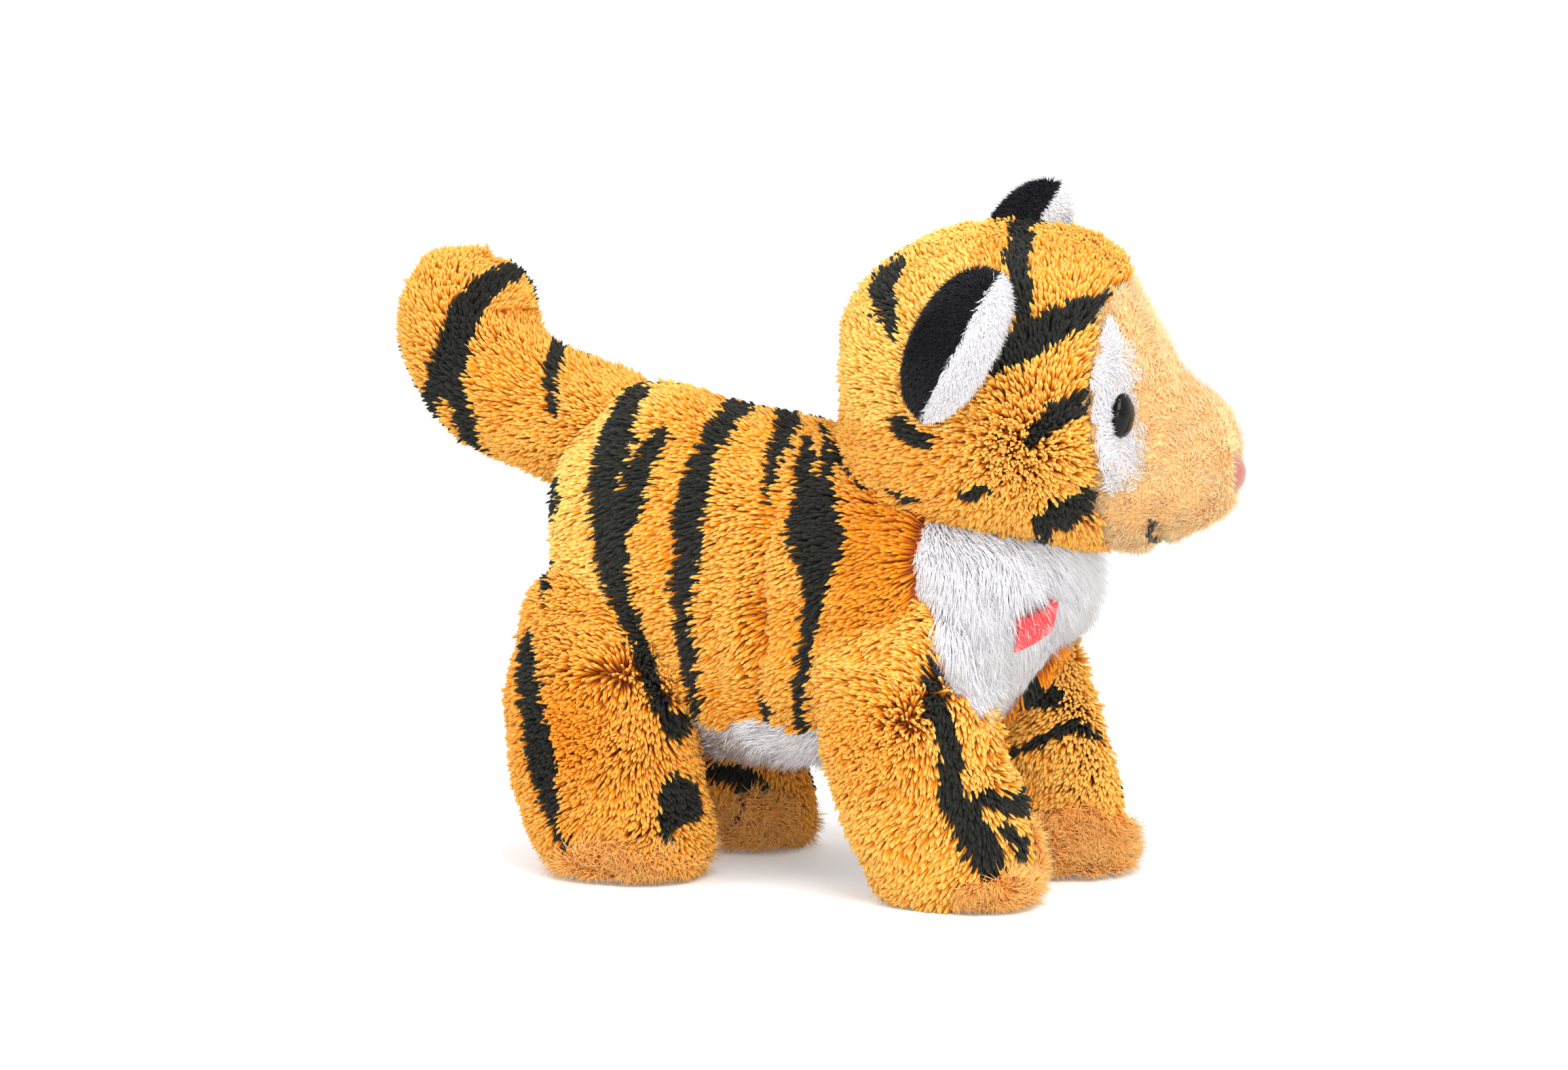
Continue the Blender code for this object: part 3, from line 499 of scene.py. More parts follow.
def trunk_depth(points):
    """Depth in the trunk's ring at the point's own x."""
    x = points[:, 0] + chest_press(points[:, 0], points[:, 2])
    _, top, bottom, half = column(TRUNK_FINE, (x - TRUNK_BACK) / TRUNK_LENGTH)
    middle = BELLY_HEIGHT + (top + bottom) / 2 * TRUNK_HEIGHT
    return ring_depth(points[:, 1] - MIDDLE_Y, points[:, 2] - middle, half * TRUNK_WIDTH,
                      (top - bottom) / 2 * TRUNK_HEIGHT)


def leg_form(name):
    """One leg's form: level rings that shift forward towards the toes."""
    hind = name.startswith("hind")
    shares = HIND_LEG_SHARES if hind else FRONT_LEG_SHARES
    height = HIND_LEG_HEIGHT if hind else FRONT_LEG_HEIGHT
    lean = HIND_FOOT_FORWARD if hind else FRONT_FOOT_FORWARD
    hip = HIPS[name]
    spread = hip[1] - MIDDLE_Y
    fine = curve_at(shares, np.linspace(0, 1, FINE_STEPS))

    def points(along, around):
        """A leg's ring at a share of the way down, flat at the sole."""
        rows = curve_at(shares, along)
        across, upward = ring_at(around)
        x = hip[0] + rows[..., 1] * lean + across * rows[..., 3] * LEG_LENGTH
        y = MIDDLE_Y + spread * (1 - rows[..., 2]) + upward * rows[..., 4] * LEG_WIDTH
        return np.stack([x, y, np.maximum(rows[..., 0] * height, 0)], axis=-1)

    def depth(points):
        """Depth in the leg's ring at the point's own height."""
        _, forward, inward, half_length, half_width = column(fine, points[:, 2] / height)
        return ring_depth(points[:, 0] - hip[0] - forward * lean,
                          points[:, 1] - MIDDLE_Y - spread * (1 - inward),
                          half_length * LEG_LENGTH, half_width * LEG_WIDTH)

    return as_form(points, (0.012, 0.965), depth)


def tail_path(share):
    """The middle and the radius of the tail's rings, along a path that runs back and then curls up."""
    rows = curve_at(TAIL_SHARES, share)
    middle = np.stack([TAIL_ROOT[0] - rows[..., 0] * TAIL_REACH, np.full(np.shape(share), TAIL_ROOT[1]),
                       TAIL_ROOT[2] + rows[..., 1] * TAIL_RISE], axis=-1)
    return middle, rows[..., 2] * TAIL_RADIUS


def slope(path, along):
    """Which way a path runs, from two places a little way apart."""
    return unit(path(np.clip(along + 0.02, 0, 1)) - path(np.clip(along - 0.02, 0, 1)))


def tail_points(along, around):
    """Rings square to the tail's path."""
    middle, radius = tail_path(along)
    ahead = slope(lambda share: tail_path(share)[0], along)
    side = np.zeros_like(ahead)
    side[..., 1] = 1.0
    across, upward = ring_at(around)
    return middle + (radius * across)[..., None] * side + (radius * upward)[..., None] * np.cross(ahead, side)


TAIL_MIDDLES, TAIL_RADII = tail_path(np.linspace(0, 1, 60))


def tail_depth(points):
    """Depth in the largest of the balls strung along the tail's path."""
    away = np.linalg.norm(points[:, None] - TAIL_MIDDLES[None], axis=2)
    return (TAIL_RADII - away).max(axis=1)


HEAD_TURN = turn_matrix(HEAD_YAW, "Z") @ turn_matrix(HEAD_ROLL, "X")
HEAD_FINE = curve_at(HEAD_SHARES, np.linspace(0, 1, FINE_STEPS))


def to_head(points):
    """A point as forward, left and up from the middle of the skull."""
    return (points - HEAD_MIDDLE) @ HEAD_TURN


def from_head(points):
    """The way back from the head's own axes."""
    return points @ HEAD_TURN.T + HEAD_MIDDLE


def head_points(along, around):
    """Rings square to the way the face looks, from the back of the skull to the nose."""
    rows = curve_at(HEAD_SHARES, along)
    across, upward = ring_at(around)
    middle = (rows[..., 1] + rows[..., 2]) / 2 * HEAD_HEIGHT
    half = (rows[..., 1] - rows[..., 2]) / 2 * HEAD_HEIGHT
    local = np.stack([rows[..., 0] * HEAD_LENGTH - HEAD_BACK, across * rows[..., 3] * HEAD_WIDTH,
                      middle + upward * half], axis=-1)
    return from_head(local)


def head_depth(points):
    """Depth in the head's ring at the point's own distance forward."""
    local = to_head(points)
    _, top, bottom, half = column(HEAD_FINE, (local[:, 0] + HEAD_BACK) / HEAD_LENGTH)
    return ring_depth(local[:, 1], local[:, 2] - (top + bottom) / 2 * HEAD_HEIGHT, half * HEAD_WIDTH,
                      (top - bottom) / 2 * HEAD_HEIGHT)


def face_seam(local):
    """How far forward the seam between the gold head and the peach face runs."""
    return FACE_SEAM + SEAM_BOW * np.exp(-(local[..., 1] / SEAM_BOW_WIDTH) ** 2) * (local[..., 2] > 0)


def cloth_depth(form, points):
    """How far the cloth lies under the tips of its pile; the face's pile is the shorter one."""
    if form is not head:
        return np.full(points.shape[:-1], form.pile)
    local = to_head(points)
    share = np.clip((local[..., 0] - face_seam(local)) / SEAM_REACH, 0, 1)
    return PILE_HEIGHT + (FACE_PILE_HEIGHT - PILE_HEIGHT) * share * share * (3 - 2 * share)


def cloth(form):
    """The same form shrunk along its normals: the cloth that lies under the pile."""
    def points(along, around):
        """A point of the form moved inwards."""
        outer = form(along, around)
        return outer - outward(form, along, around) * cloth_depth(form, outer)[..., None]

    points.ends = form.ends
    points.facing = form.facing
    return points


trunk = as_form(trunk_points, (0.004, 0.996), trunk_depth)
tail = as_form(tail_points, (0.0, 0.99), tail_depth, curled=True)

# %% [markdown]
# The head's rings alone make a smooth snout. Stuffing and stitches give a plush face its shape:
# two puffed lobes beside the nose, a chin tucked in under the mouth's stitched line, and hollows
# where the eyes pull the cloth in. Each is a soft bump on the ball, out or in along its normal.
# %% The face's bumps
FACE_BUMPS = [
    # middle (forward, side, up), reach (forward, side, up), height
    ((60.0, 12.0, -19.0), (12.0, 9.0, 10.0), 1.2),
    ((71.0, 0.0, -20.0), (10.0, 30.0, 20.0), -4.2),
    ((42.0, 0.0, -44.0), (9.0, 18.0, 8.0), 1.2),
    ((60.0, 0.0, -42.0), (11.0, 24.0, 8.0), -4.2),
    ((47.0, 23.0, -3.0), (6.0, 7.0, 9.0), -2.6),
    ((40.0, 33.0, 0.0), (7.0, 7.0, 9.0), -1.0),
    ((33.0, 0.0, 34.0), (13.0, 26.0, 12.0), 1.6),
    ((54.0, 0.0, 4.0), (9.0, 18.0, 8.0), -2.4),
    ((-14.0, 0.0, -40.0), (21.0, 36.0, 15.0), -9.5),
    ((12.0, 8.0, -43.0), (12.0, 26.0, 10.0), -3.5),
    ((69.0, 0.0, -23.0), (9.0, 9.0, 8.0), -2.4),
]
MOUTH_LINE = np.array([(45.0, 26.0, -33.0), (45.6, 25.0, -34.4), (46.4, 21.0, -37.8), (46.4, 11.0, -41.2),
                       (46.0, 0.0, -42.5)]) * MM
MOUTH_WIDTH = 2.6 * MM
MOUTH_DEPTH = 2.6 * MM


def face_bumps(local):
    """Sum of the face's bumps, each a bell over an ellipsoid, and the mouth's crease."""
    folded = np.stack([local[..., 0], np.abs(local[..., 1]), local[..., 2]], axis=-1)
    total = np.zeros(local.shape[:-1])
    for middle, reach, height in FACE_BUMPS:
        away = (folded - np.array(middle) * MM) / (np.array(reach) * MM)
        total = total + height * MM * np.exp(-(away ** 2).sum(axis=-1))
    nearest = np.full(local.shape[:-1], 1.0)
    for start, end in zip(MOUTH_LINE[:-1], MOUTH_LINE[1:]):
        span = end - start
        share = np.clip((folded - start) @ span / (span @ span), 0, 1)
        nearest = np.minimum(nearest, np.linalg.norm(folded - start - share[..., None] * span, axis=-1))
    return total - MOUTH_DEPTH * np.exp(-(nearest / MOUTH_WIDTH) ** 2)


plain_head = as_form(head_points, (0.004, 0.996), head_depth)


def sculpted_head(along, around):
    """The plain head moved along its normals by the face's bumps."""
    plain = plain_head(along, around)
    return plain + outward(plain_head, along, around) * face_bumps(to_head(plain))[..., None]


head = as_form(sculpted_head, (0.004, 0.996), head_depth)
legs = {name: leg_form(name) for name in HIPS}
print("forms face", trunk.facing, tail.facing, head.facing, [legs[name].facing for name in legs])

# %% [markdown]
# The pile's colour is one shared node group. Every tuft carries four numbers in an attribute: how
# far it is dyed black, how far up the tuft a corner sits, a number of its own, and one for the
# main cloth or nought for the other. The group runs from a deep root colour to a pale tip and
# shifts each tuft a little, and a fine noise adds the fibres that are too small to model. The dark
# root is painted shade, the shadow that falls between the tufts. The pale tip is partly the
# cloth's own paler ends and partly a painted highlight.
# %% Pile materials
# The black pile is darker at the root as well: painted shade between the tufts.
BLACK_ROOT = (0.005, 0.005, 0.0045, 1.0)
BLACK_TIP = (0.026, 0.026, 0.021, 1.0)
FIBRES_ACROSS = 2400.0
FIBRES_UP = 420.0
FIBRE_FLOOR = 0.35
FIBRE_CONTRAST = 1.3


def mixed(tree, factor, first, second):
    """Mix two colours; the node has a socket of each name for each data type, so they go by number."""
    mix = tree.nodes.new("ShaderNodeMix")
    mix.data_type = "RGBA"
    for number, value in ((0, factor), (6, first), (7, second)):
        feed(tree, mix.inputs[number], value)
    return mix.outputs[2]


pile_group = bpy.data.node_groups.new("pile_colour", "ShaderNodeTree")
for label in ("Pile", "Root", "Middle", "Tip", "Other"):
    pile_group.interface.new_socket(name=label, in_out="INPUT", socket_type="NodeSocketColor")
for label in ("Keep", "Spread"):
    pile_group.interface.new_socket(name=label, in_out="INPUT", socket_type="NodeSocketFloat")
pile_group.interface.new_socket(name="Color", in_out="OUTPUT", socket_type="NodeSocketColor")
given = pile_group.nodes.new("NodeGroupInput").outputs
split = pile_group.nodes.new("ShaderNodeSeparateColor")
feed(pile_group, split.inputs[0], given["Pile"])
dyed, height, own = split.outputs
lower = arithmetic(pile_group, "MULTIPLY", height, 2.0, clamp=True)
upper = arithmetic(pile_group, "MULTIPLY_ADD", height, 2.0, -1.0, clamp=True)
gold = mixed(pile_group, lower, given["Root"], given["Middle"])
gold = mixed(pile_group, upper, gold, given["Tip"])
away = arithmetic(pile_group, "SUBTRACT", own, 0.5)
level = arithmetic(pile_group, "MULTIPLY_ADD", away, given["Spread"], 1.0)
place = pile_group.nodes.new("ShaderNodeUVMap")
place.uv_map = "OFBake"
streaks = pile_group.nodes.new("ShaderNodeVectorMath")
streaks.operation = "MULTIPLY"
streaks.inputs[1].default_value = (FIBRES_ACROSS, FIBRES_UP, 1.0)
feed(pile_group, streaks.inputs[0], place.outputs["UV"])
fibre = pile_group.nodes.new("ShaderNodeTexNoise")
fibre.inputs["Scale"].default_value = 1.0
fibre.inputs["Detail"].default_value = 2.0
feed(pile_group, fibre.inputs["Vector"], streaks.outputs[0])
fine = arithmetic(pile_group, "MULTIPLY_ADD", fibre.outputs[0], FIBRE_CONTRAST, FIBRE_FLOOR)
scaled = pile_group.nodes.new("ShaderNodeVectorMath")
scaled.operation = "SCALE"
feed(pile_group, scaled.inputs[0], gold)
feed(pile_group, scaled.inputs["Scale"], arithmetic(pile_group, "MULTIPLY", level, fine))
black = mixed(pile_group, height, BLACK_ROOT, BLACK_TIP)
shade = mixed(pile_group, dyed, scaled.outputs[0], black)
shade = mixed(pile_group, given["Keep"], given["Other"], shade)
feed(pile_group, pile_group.nodes.new("NodeGroupOutput").inputs["Color"], shade)

WHITE = (0.93, 0.92, 0.95)
PEACH = (1.0, 0.64, 0.29)


def pile_material(name, root, middle, tip, spread, other=WHITE):
    """A pile's material: the shared colour group in a matt Principled shader."""
    made = plain_material(name, middle, 0.85, 0.12, 0.05)
    tree = made.node_tree
    group = tree.nodes.new("ShaderNodeGroup")
    group.node_tree = pile_group
    for label, value in (("Root", root), ("Middle", middle), ("Tip", tip), ("Other", other)):
        group.inputs[label].default_value = (*value, 1.0)
    group.inputs["Spread"].default_value = spread
    strand = tree.nodes.new("ShaderNodeAttribute")
    strand.attribute_name = "pile"
    feed(tree, group.inputs["Pile"], strand.outputs["Color"])
    feed(tree, group.inputs["Keep"], strand.outputs["Alpha"])
    feed(tree, tree.nodes["Principled BSDF"].inputs["Base Color"], group.outputs["Color"])
    return made


# Each pile below runs from a root deepened by painted shade to a tip paled partly by a painted highlight.
GOLD = ((0.42, 0.055, 0.001), (0.78, 0.25, 0.003), (1.0, 0.77, 0.21))
gold_pile = pile_material("gold_pile", *GOLD, 0.16)
gold_and_peach = pile_material("gold_and_peach_pile", *GOLD, 0.16, other=PEACH)
peach_pile = pile_material("peach_pile", (1.0, 0.52, 0.16), (1.0, 0.70, 0.34), (1.0, 0.86, 0.56), 0.12)
sole_pile = pile_material("sole_pile", (1.0, 0.40, 0.07), (1.0, 0.50, 0.12), (1.0, 0.66, 0.27), 0.16)
white_pile = pile_material("white_pile", (0.93, 0.92, 0.96), (0.96, 0.95, 0.98), (0.98, 0.98, 0.99), 0.04)
velour_pile = pile_material("velour_pile", (0.002, 0.002, 0.003), (0.005, 0.005, 0.007),
                            (0.016, 0.015, 0.022), 0.5)

# %% [markdown]
# The stripes are printed on the cloth, so a stripe is a line on the pattern and not a shape of
# its own. Each line below is a chain of points with a width, measured in the photograph's pixels.
# A tuft that faces the camera looks up its own place in the picture. A tuft on a hidden side
# looks up the place of its mirror twin, so the far flank gets the stripes of the near one.
# %% Stripe lines
RAGGED_EDGE = 4.0
BODY_LINES = [
    [(947, 546, 45), (936, 587, 31), (920, 624, 39), (910, 658, 50), (896, 695, 44), (891, 732, 42),
     (902, 757, 60), (904, 790, 54), (905, 823, 48), (910, 857, 37), (921, 894, 31), (936, 927, 29),
     (946, 956, 25), (958, 998, 23), (974, 1039, 25), (991, 1072, 31), (1003, 1062, 20), (1000, 1085, 12)],
    [(987, 629, 4), (974, 645, 18), (960, 666, 30), (949, 687, 34), (938, 711, 37), (929, 745, 44),
     (918, 769, 40)],
    [(1099, 595, 37), (1082, 610, 37), (1064, 633, 35), (1047, 660, 33), (1037, 687, 42), (1031, 716, 42),
     (1021, 749, 47), (1014, 790, 45), (1014, 823, 41), (1010, 857, 37), (1008, 890, 27), (1010, 931, 25),
     (1015, 964, 22), (1018, 998, 17), (1024, 1027, 17), (1029, 1051, 10)],
    [(1163, 620, 37), (1155, 645, 33), (1146, 666, 29), (1140, 687, 19), (1136, 711, 10), (1131, 740, 5)],
    [(1122, 1014, 5), (1128, 1035, 10), (1136, 1056, 12)],
    [(1194, 645, 12), (1192, 670, 25), (1188, 699, 29), (1188, 728, 33)],
    [(1217, 629, 6), (1223, 658, 10), (1222, 687, 19), (1219, 716, 25)],
    [(1202, 732, 60), (1203, 749, 64), (1202, 769, 79), (1203, 786, 82), (1204, 807, 74), (1205, 828, 56),
     (1203, 852, 43), (1202, 881, 33), (1197, 915, 27), (1191, 939, 23), (1187, 968, 22), (1183, 998, 20),
     (1182, 1031, 16), (1183, 1060, 14), (1187, 1095, 11), (1195, 1122, 10), (1204, 1146, 6),
     (1213, 1167, 3), (1222, 1195, 3)],
    [(1217, 625, 4), (1229, 662, 6), (1244, 687, 8), (1260, 703, 6), (1277, 722, 3)],
    [(820, 708, 18), (819, 738, 15), (817, 765, 6)],
    [(814, 817, 6), (811, 841, 9), (807, 871, 6), (802, 889, 3)],
]
NEAR_HIND_LINES = [
    [(785, 929, 6), (782, 948, 19), (781, 973, 26), (782, 1002, 30), (785, 1028, 30), (788, 1053, 31),
     (792, 1079, 35), (797, 1101, 38), (801, 1123, 40), (807, 1149, 30), (812, 1174, 26), (818, 1197, 19),
     (823, 1219, 14), (831, 1235, 13), (840, 1251, 11), (850, 1267, 10), (856, 1275, 4)],
    [(997, 1168, 57), (1006, 1187, 48), (987, 1203, 38), (984, 1228, 20)],
]
NEAR_FRONT_LINES = [
    [(1374, 978, 12), (1374, 1006, 28), (1378, 1037, 35), (1389, 1065, 32), (1396, 1093, 32),
     (1403, 1118, 35), (1399, 1149, 34), (1403, 1177, 39), (1420, 1206, 46), (1438, 1234, 56),
     (1452, 1262, 50), (1459, 1286, 26)],
    [(1427, 1188, 30), (1452, 1174, 26), (1480, 1184, 24), (1515, 1181, 46), (1517, 1156, 22)],
    [(1480, 1220, 20), (1501, 1237, 22), (1504, 1265, 16)],
    [(1389, 988, 8), (1417, 1016, 6)],
]
FAR_HIND_LINES = [
    [(981, 1120, 14), (1003, 1123, 16), (1038, 1134, 25), (1067, 1138, 29), (1095, 1146, 38),
     (1111, 1161, 45), (1115, 1175, 30)],
]
FAR_FRONT_LINES = [
    [(1511, 1030, 20), (1529, 1023, 30), (1552, 1025, 30)],
    [(1473, 1118, 7), (1501, 1106, 14), (1529, 1092, 14), (1553, 1079, 16), (1571, 1072, 19),
     (1592, 1072, 17), (1613, 1083, 11), (1627, 1097, 4)],
]
TAIL_LINES = [
    [(772, 402, 15), (745, 408, 30), (711, 429, 42), (687, 459, 45), (675, 495, 48), (666, 532, 52),
     (660, 562, 57), (642, 580, 27), (642, 605, 18), (648, 623, 5)],
    [(660, 562, 57), (681, 586, 27), (687, 617, 30), (696, 647, 30), (711, 671, 24), (723, 689, 15)],
    [(823, 511, 24), (819, 538, 23), (814, 562, 17), (815, 586, 15), (817, 611, 9), (817, 623, 3)],
]
HEAD_LINES = [
    [(1332, 387, 14), (1309, 409, 27), (1302, 434, 34), (1307, 457, 34), (1316, 475, 25), (1317, 498, 7)],
    [(1329, 625, 23), (1345, 643, 27), (1364, 650, 23), (1375, 659, 7)],
    [(1314, 723, 6), (1334, 731, 12), (1358, 738, 6)],
    [(1416, 727, 14), (1436, 727, 22), (1457, 721, 10)],
    [(1474, 322, 18), (1511, 318, 20), (1548, 314, 16), (1570, 313, 8)],
    [(1509, 330, 36), (1504, 357, 34), (1495, 384, 36), (1500, 407, 32), (1507, 430, 30), (1505, 460, 36)],
    [(1468, 539, 27), (1495, 516, 50), (1527, 498, 54), (1559, 480, 45), (1591, 466, 41), (1613, 455, 36),
     (1625, 443, 22)],
    [(1513, 652, 14), (1532, 634, 27), (1550, 616, 34), (1572, 603, 34), (1597, 593, 34), (1609, 593, 22)],
    [(1540, 790, 20), (1536, 770, 30), (1559, 757, 41), (1586, 743, 36), (1609, 734, 41), (1627, 734, 27),
     (1622, 711, 14)],
]


def inside_lines(pixels, lines):
    """How far each pixel lies inside the nearest line, in pixels; negative outside all of them."""
    best = np.full(len(pixels), -1e9)
    for line in lines:
        line = np.array(line, float)
        for start, end in zip(line[:-1], line[1:]):
            span = end[:2] - start[:2]
            share = np.clip((pixels - start[:2]) @ span / max(span @ span, TINY), 0, 1)
            gap = np.linalg.norm(pixels - start[:2] - share[:, None] * span, axis=1)
            best = np.maximum(best, (start[2] + share * (end[2] - start[2])) / 2 - gap)
    return best


def mirrored(points):
    """The twin of a point on the other side of the body."""
    return points * [1, -1, 1] + [0, 2 * MIDDLE_Y, 0]


def head_mirrored(points):
    """The twin of a point on the other side of the face."""
    return from_head(to_head(points) * [1, -1, 1])


def read_picture(points, normals, twin, reading, own, other):
    """Read the picture at each point's own pixel, or at its twin's where the camera can't see it."""
    return np.where(in_view(points, normals), reading(photo_pixels(points), own),
                    reading(photo_pixels(twin(points)), other))


def dye_of(shown_lines, twin_lines, twin, seed):
    """The dye of one form: a function of places and normals."""
    def dye(points, normals):
        """One where a place or its twin lies inside a line, nought elsewhere."""
        inside = read_picture(points, normals, twin, inside_lines, shown_lines, twin_lines)
        stray = np.random.default_rng(seed).uniform(-RAGGED_EDGE, RAGGED_EDGE, len(points))
        return (inside + stray > 0).astype(float)
    return dye


print("lines", [len(group) for group in (BODY_LINES, NEAR_HIND_LINES, NEAR_FRONT_LINES, FAR_HIND_LINES,
                                          FAR_FRONT_LINES, TAIL_LINES, HEAD_LINES)])

# %% [markdown]
# A tuft is a small spindle with three sides: a narrower root, its widest ring near the top, and a
# pointed tip that bends the way the pile is brushed. Ten triangles are enough, because it is seen
# by the thousand. Roots are spread by a sequence that fills the plane evenly, mapped through the
# form's area so that every square millimetre of cloth gets the same number.
# %% Tufts
PLASTIC = 1.32471795724
AREA_ROWS = 160
AREA_COLUMNS = 96


def spread_roots(form, per_mm2, seed, low=None, high=None):
    """Roots spread evenly over a form, as shares along it and round it."""
    low = form.ends[0] if low is None else low
    high = form.ends[1] if high is None else high
    corners = form(*np.meshgrid(np.linspace(low, high, AREA_ROWS + 1), np.linspace(0, 1, AREA_COLUMNS + 1),
                                indexing="ij"))
    down = corners[1:, :-1] - corners[:-1, :-1]
    turn = corners[:-1, 1:] - corners[:-1, :-1]
    area = np.linalg.norm(np.cross(down, turn), axis=2) + TINY ** 2
    count = int(area.sum() / MM ** 2 * per_mm2)
    step = np.arange(count)
    jitter = np.random.default_rng(seed).uniform(-0.4, 0.4, (2, count)) / math.sqrt(count)
    first = (step / PLASTIC + 0.5 + jitter[0]) % 1
    second = (step / PLASTIC ** 2 + 0.5 + jitter[1]) % 1
    by_row = np.append(0, area.sum(axis=1).cumsum()) / area.sum()
    row = np.interp(first, by_row, np.arange(AREA_ROWS + 1))
    whole = np.minimum(row.astype(int), AREA_ROWS - 1)
    by_column = np.hstack([np.zeros((AREA_ROWS, 1)), area.cumsum(axis=1)]) / area.sum(axis=1)[:, None]
    by_column = by_column + np.arange(AREA_ROWS)[:, None]
    columns = np.tile(np.arange(AREA_COLUMNS + 1), AREA_ROWS)
    around = np.interp(whole + second, by_column.ravel(), columns) / AREA_COLUMNS
    return low + (high - low) * row / AREA_ROWS, around


def at_cloth(form, along, around):
    """The places of a form's cloth and their outward normals."""
    outer = form(along, around)
    normals = outward(form, along, around)
    return outer - normals * cloth_depth(form, outer)[:, None], normals


def scattered(form, per_mm2, seed, low=None, high=None):
    """Roots spread evenly over a form's cloth, and their outward normals."""
    return at_cloth(form, *spread_roots(form, per_mm2, seed, low, high))


def strand_pattern(rings):
    """Faces of one three-sided strand with that many rings, and the unfolded cell each face gets."""
    loops, totals, cell = [], [], []
    heights = [0.04 + 0.92 * ring[0] for ring in rings] + [0.96]
    for side in range(3):
        after = (side + 1) % 3
        left, right, middle = 0.04 + 0.32 * side, 0.32 + 0.32 * side, 0.18 + 0.32 * side
        for k in range(len(rings) - 1):
            loops += [3 * k + side, 3 * k + after, 3 * k + 3 + after, 3 * k + 3 + side]
            cell += [(left, heights[k]), (right, heights[k]), (right, heights[k + 1]), (left, heights[k + 1])]
            totals.append(4)
        top = 3 * (len(rings) - 1)
        loops += [top + side, top + after, 3 * len(rings)]
        cell += [(left, heights[-2]), (right, heights[-2]), (middle, 0.96)]
        totals.append(3)
    loops += [2, 1, 0]
    cell += [(0.29, 0.95), (0.39, 0.95), (0.34, 0.4 * 0.96 + 0.6 * heights[-2])]
    return np.array(loops), np.array(totals + [3]), np.array(cell)


# Rings of a strand: how high up it each one sits, and its share of the full width
TUFT_RINGS = [(0.0, 0.70), (0.84, 1.0)]
LOCK_RINGS = [(0.0, 0.8), (0.5, 1.0)]
HAIR_RINGS = [(0.0, 1.0)]
# Where the brushed way runs straight into the cloth, the pile stands up instead of parting
PARTING = 0.3


def write_pile(mesh, pile):
    """Store the dye, the height, the own number and the share of the main cloth at each corner."""
    attribute = mesh.attributes.new("pile", "FLOAT_COLOR", "POINT")
    attribute.data.foreach_set("color", pile.astype(np.float32).ravel())


def read_vectors(items, key):
    """One vector of every item of a mesh, as an array."""
    values = np.empty(len(items) * 3, np.float32)
    items.foreach_get(key, values)
    return values.reshape(-1, 3).astype(float)


def strand_piece(name, points, directions, bend, length, width, material, seed, rings, dyed=0.0, tone=1.0):
    """A mesh of strands: rings of three corners up a bent line, and a pointed tip."""
    loops, totals, cell = strand_pattern(rings)
    count = len(points)
    random = np.random.default_rng(seed)
    length = np.broadcast_to(length, count) * random.uniform(0.80, 1.15, count)
    width = np.broadcast_to(width, count) * random.uniform(0.85, 1.15, count)
    side = unit(np.cross(directions, random.normal(size=(count, 3))))
    round_about = spokes(side, np.cross(directions, side), 3)
    corners = []
    for height, share in rings:
        middle = points + directions * (length * height)[:, None]
        corners.append(middle[:, None] + round_about * (width * share / 2)[:, None, None])
    tip = middle + unit(directions + bend) * (length * (1 - rings[-1][0]))[:, None]
    corners = np.concatenate(corners + [tip[:, None]], axis=1)
    corners[..., 2] = np.maximum(corners[..., 2], 0.0)
    size = corners.shape[1]
    pile = np.ones((count, size, 4))
    pile[..., 0] = np.reshape(dyed, (-1, 1))
    pile[..., 1] = np.append(np.repeat([ring[0] for ring in rings], 3), 1.0) * np.reshape(tone, (-1, 1))
    pile[..., 2] = random.uniform(0, 1, count)[:, None]
    loops = (loops[None] + size * np.arange(count)[:, None]).ravel()
    cells = math.ceil(math.sqrt(count))
    place = np.stack([np.arange(count) % cells, np.arange(count) // cells], axis=-1)
    uv = (place[:, None] + cell[None]) / cells
    return array_piece(name, corners.reshape(-1, 3), loops, np.tile(totals, count), uv, pile, material)


def array_piece(name, points, loops, totals, uv, pile, material):
    """A new object at the origin from flat arrays of corners, face corners and face sizes."""
    mesh = bpy.data.meshes.new(name)
    mesh.vertices.add(len(points))
    mesh.vertices.foreach_set("co", points.astype(np.float32).ravel())
    mesh.loops.add(len(loops))
    mesh.loops.foreach_set("vertex_index", loops.astype(np.int32))
    mesh.polygons.add(len(totals))
    mesh.polygons.foreach_set("loop_start", (np.cumsum(totals) - totals).astype(np.int32))
    mesh.update(calc_edges=True)
    mesh.validate()
    mesh.uv_layers.new(name="OFBake").uv.foreach_set("vector", uv.astype(np.float32).ravel())
    write_pile(mesh, pile)
    low, high = points.min(0) / MM, points.max(0) / MM
    print(name, len(totals), "faces, box in mm", low.round(1), high.round(1))
    return linked_piece(name, mesh, material)


def dressed(piece, slot, body, *replaced):
    """Hide the solids that a piece stands for and attach it to the body that it rides; the slot is not used.
    """
    if replaced:
        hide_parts(*replaced)
    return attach(piece, body)


def lay_of_pile(points, normals, flow, stand, seed, stray=0.28):
    """Which way each tuft points: out of the cloth, leaned along the brushed way, with some stray."""
    flow = flow - normals * (flow * normals).sum(axis=1)[:, None]
    flow = flow / np.sqrt((flow ** 2).sum(axis=1, keepdims=True) + PARTING ** 2)
    lean = np.sqrt(np.maximum(1 - stand ** 2, 0))
    random = np.random.default_rng(seed)
    way = normals * stand[:, None] + flow * lean[:, None]
    way = unit(way + random.normal(size=points.shape) * np.reshape(stray, (-1, 1)) * 0.6)
    out = (way * normals).sum(axis=1)
    return unit(way + normals * np.maximum(0.12 - out, 0)[:, None])


def stand_of_pile(points, size, low, high, seed):
    """How upright the pile stands, varied in soft patches between two values."""
    return low + (high - low) * (0.5 + 0.5 * wander(points, size, seed))


def kept(mask, *arrays):
    """The arrays with only the rows where the mask is true."""
    return [array[mask] for array in arrays]


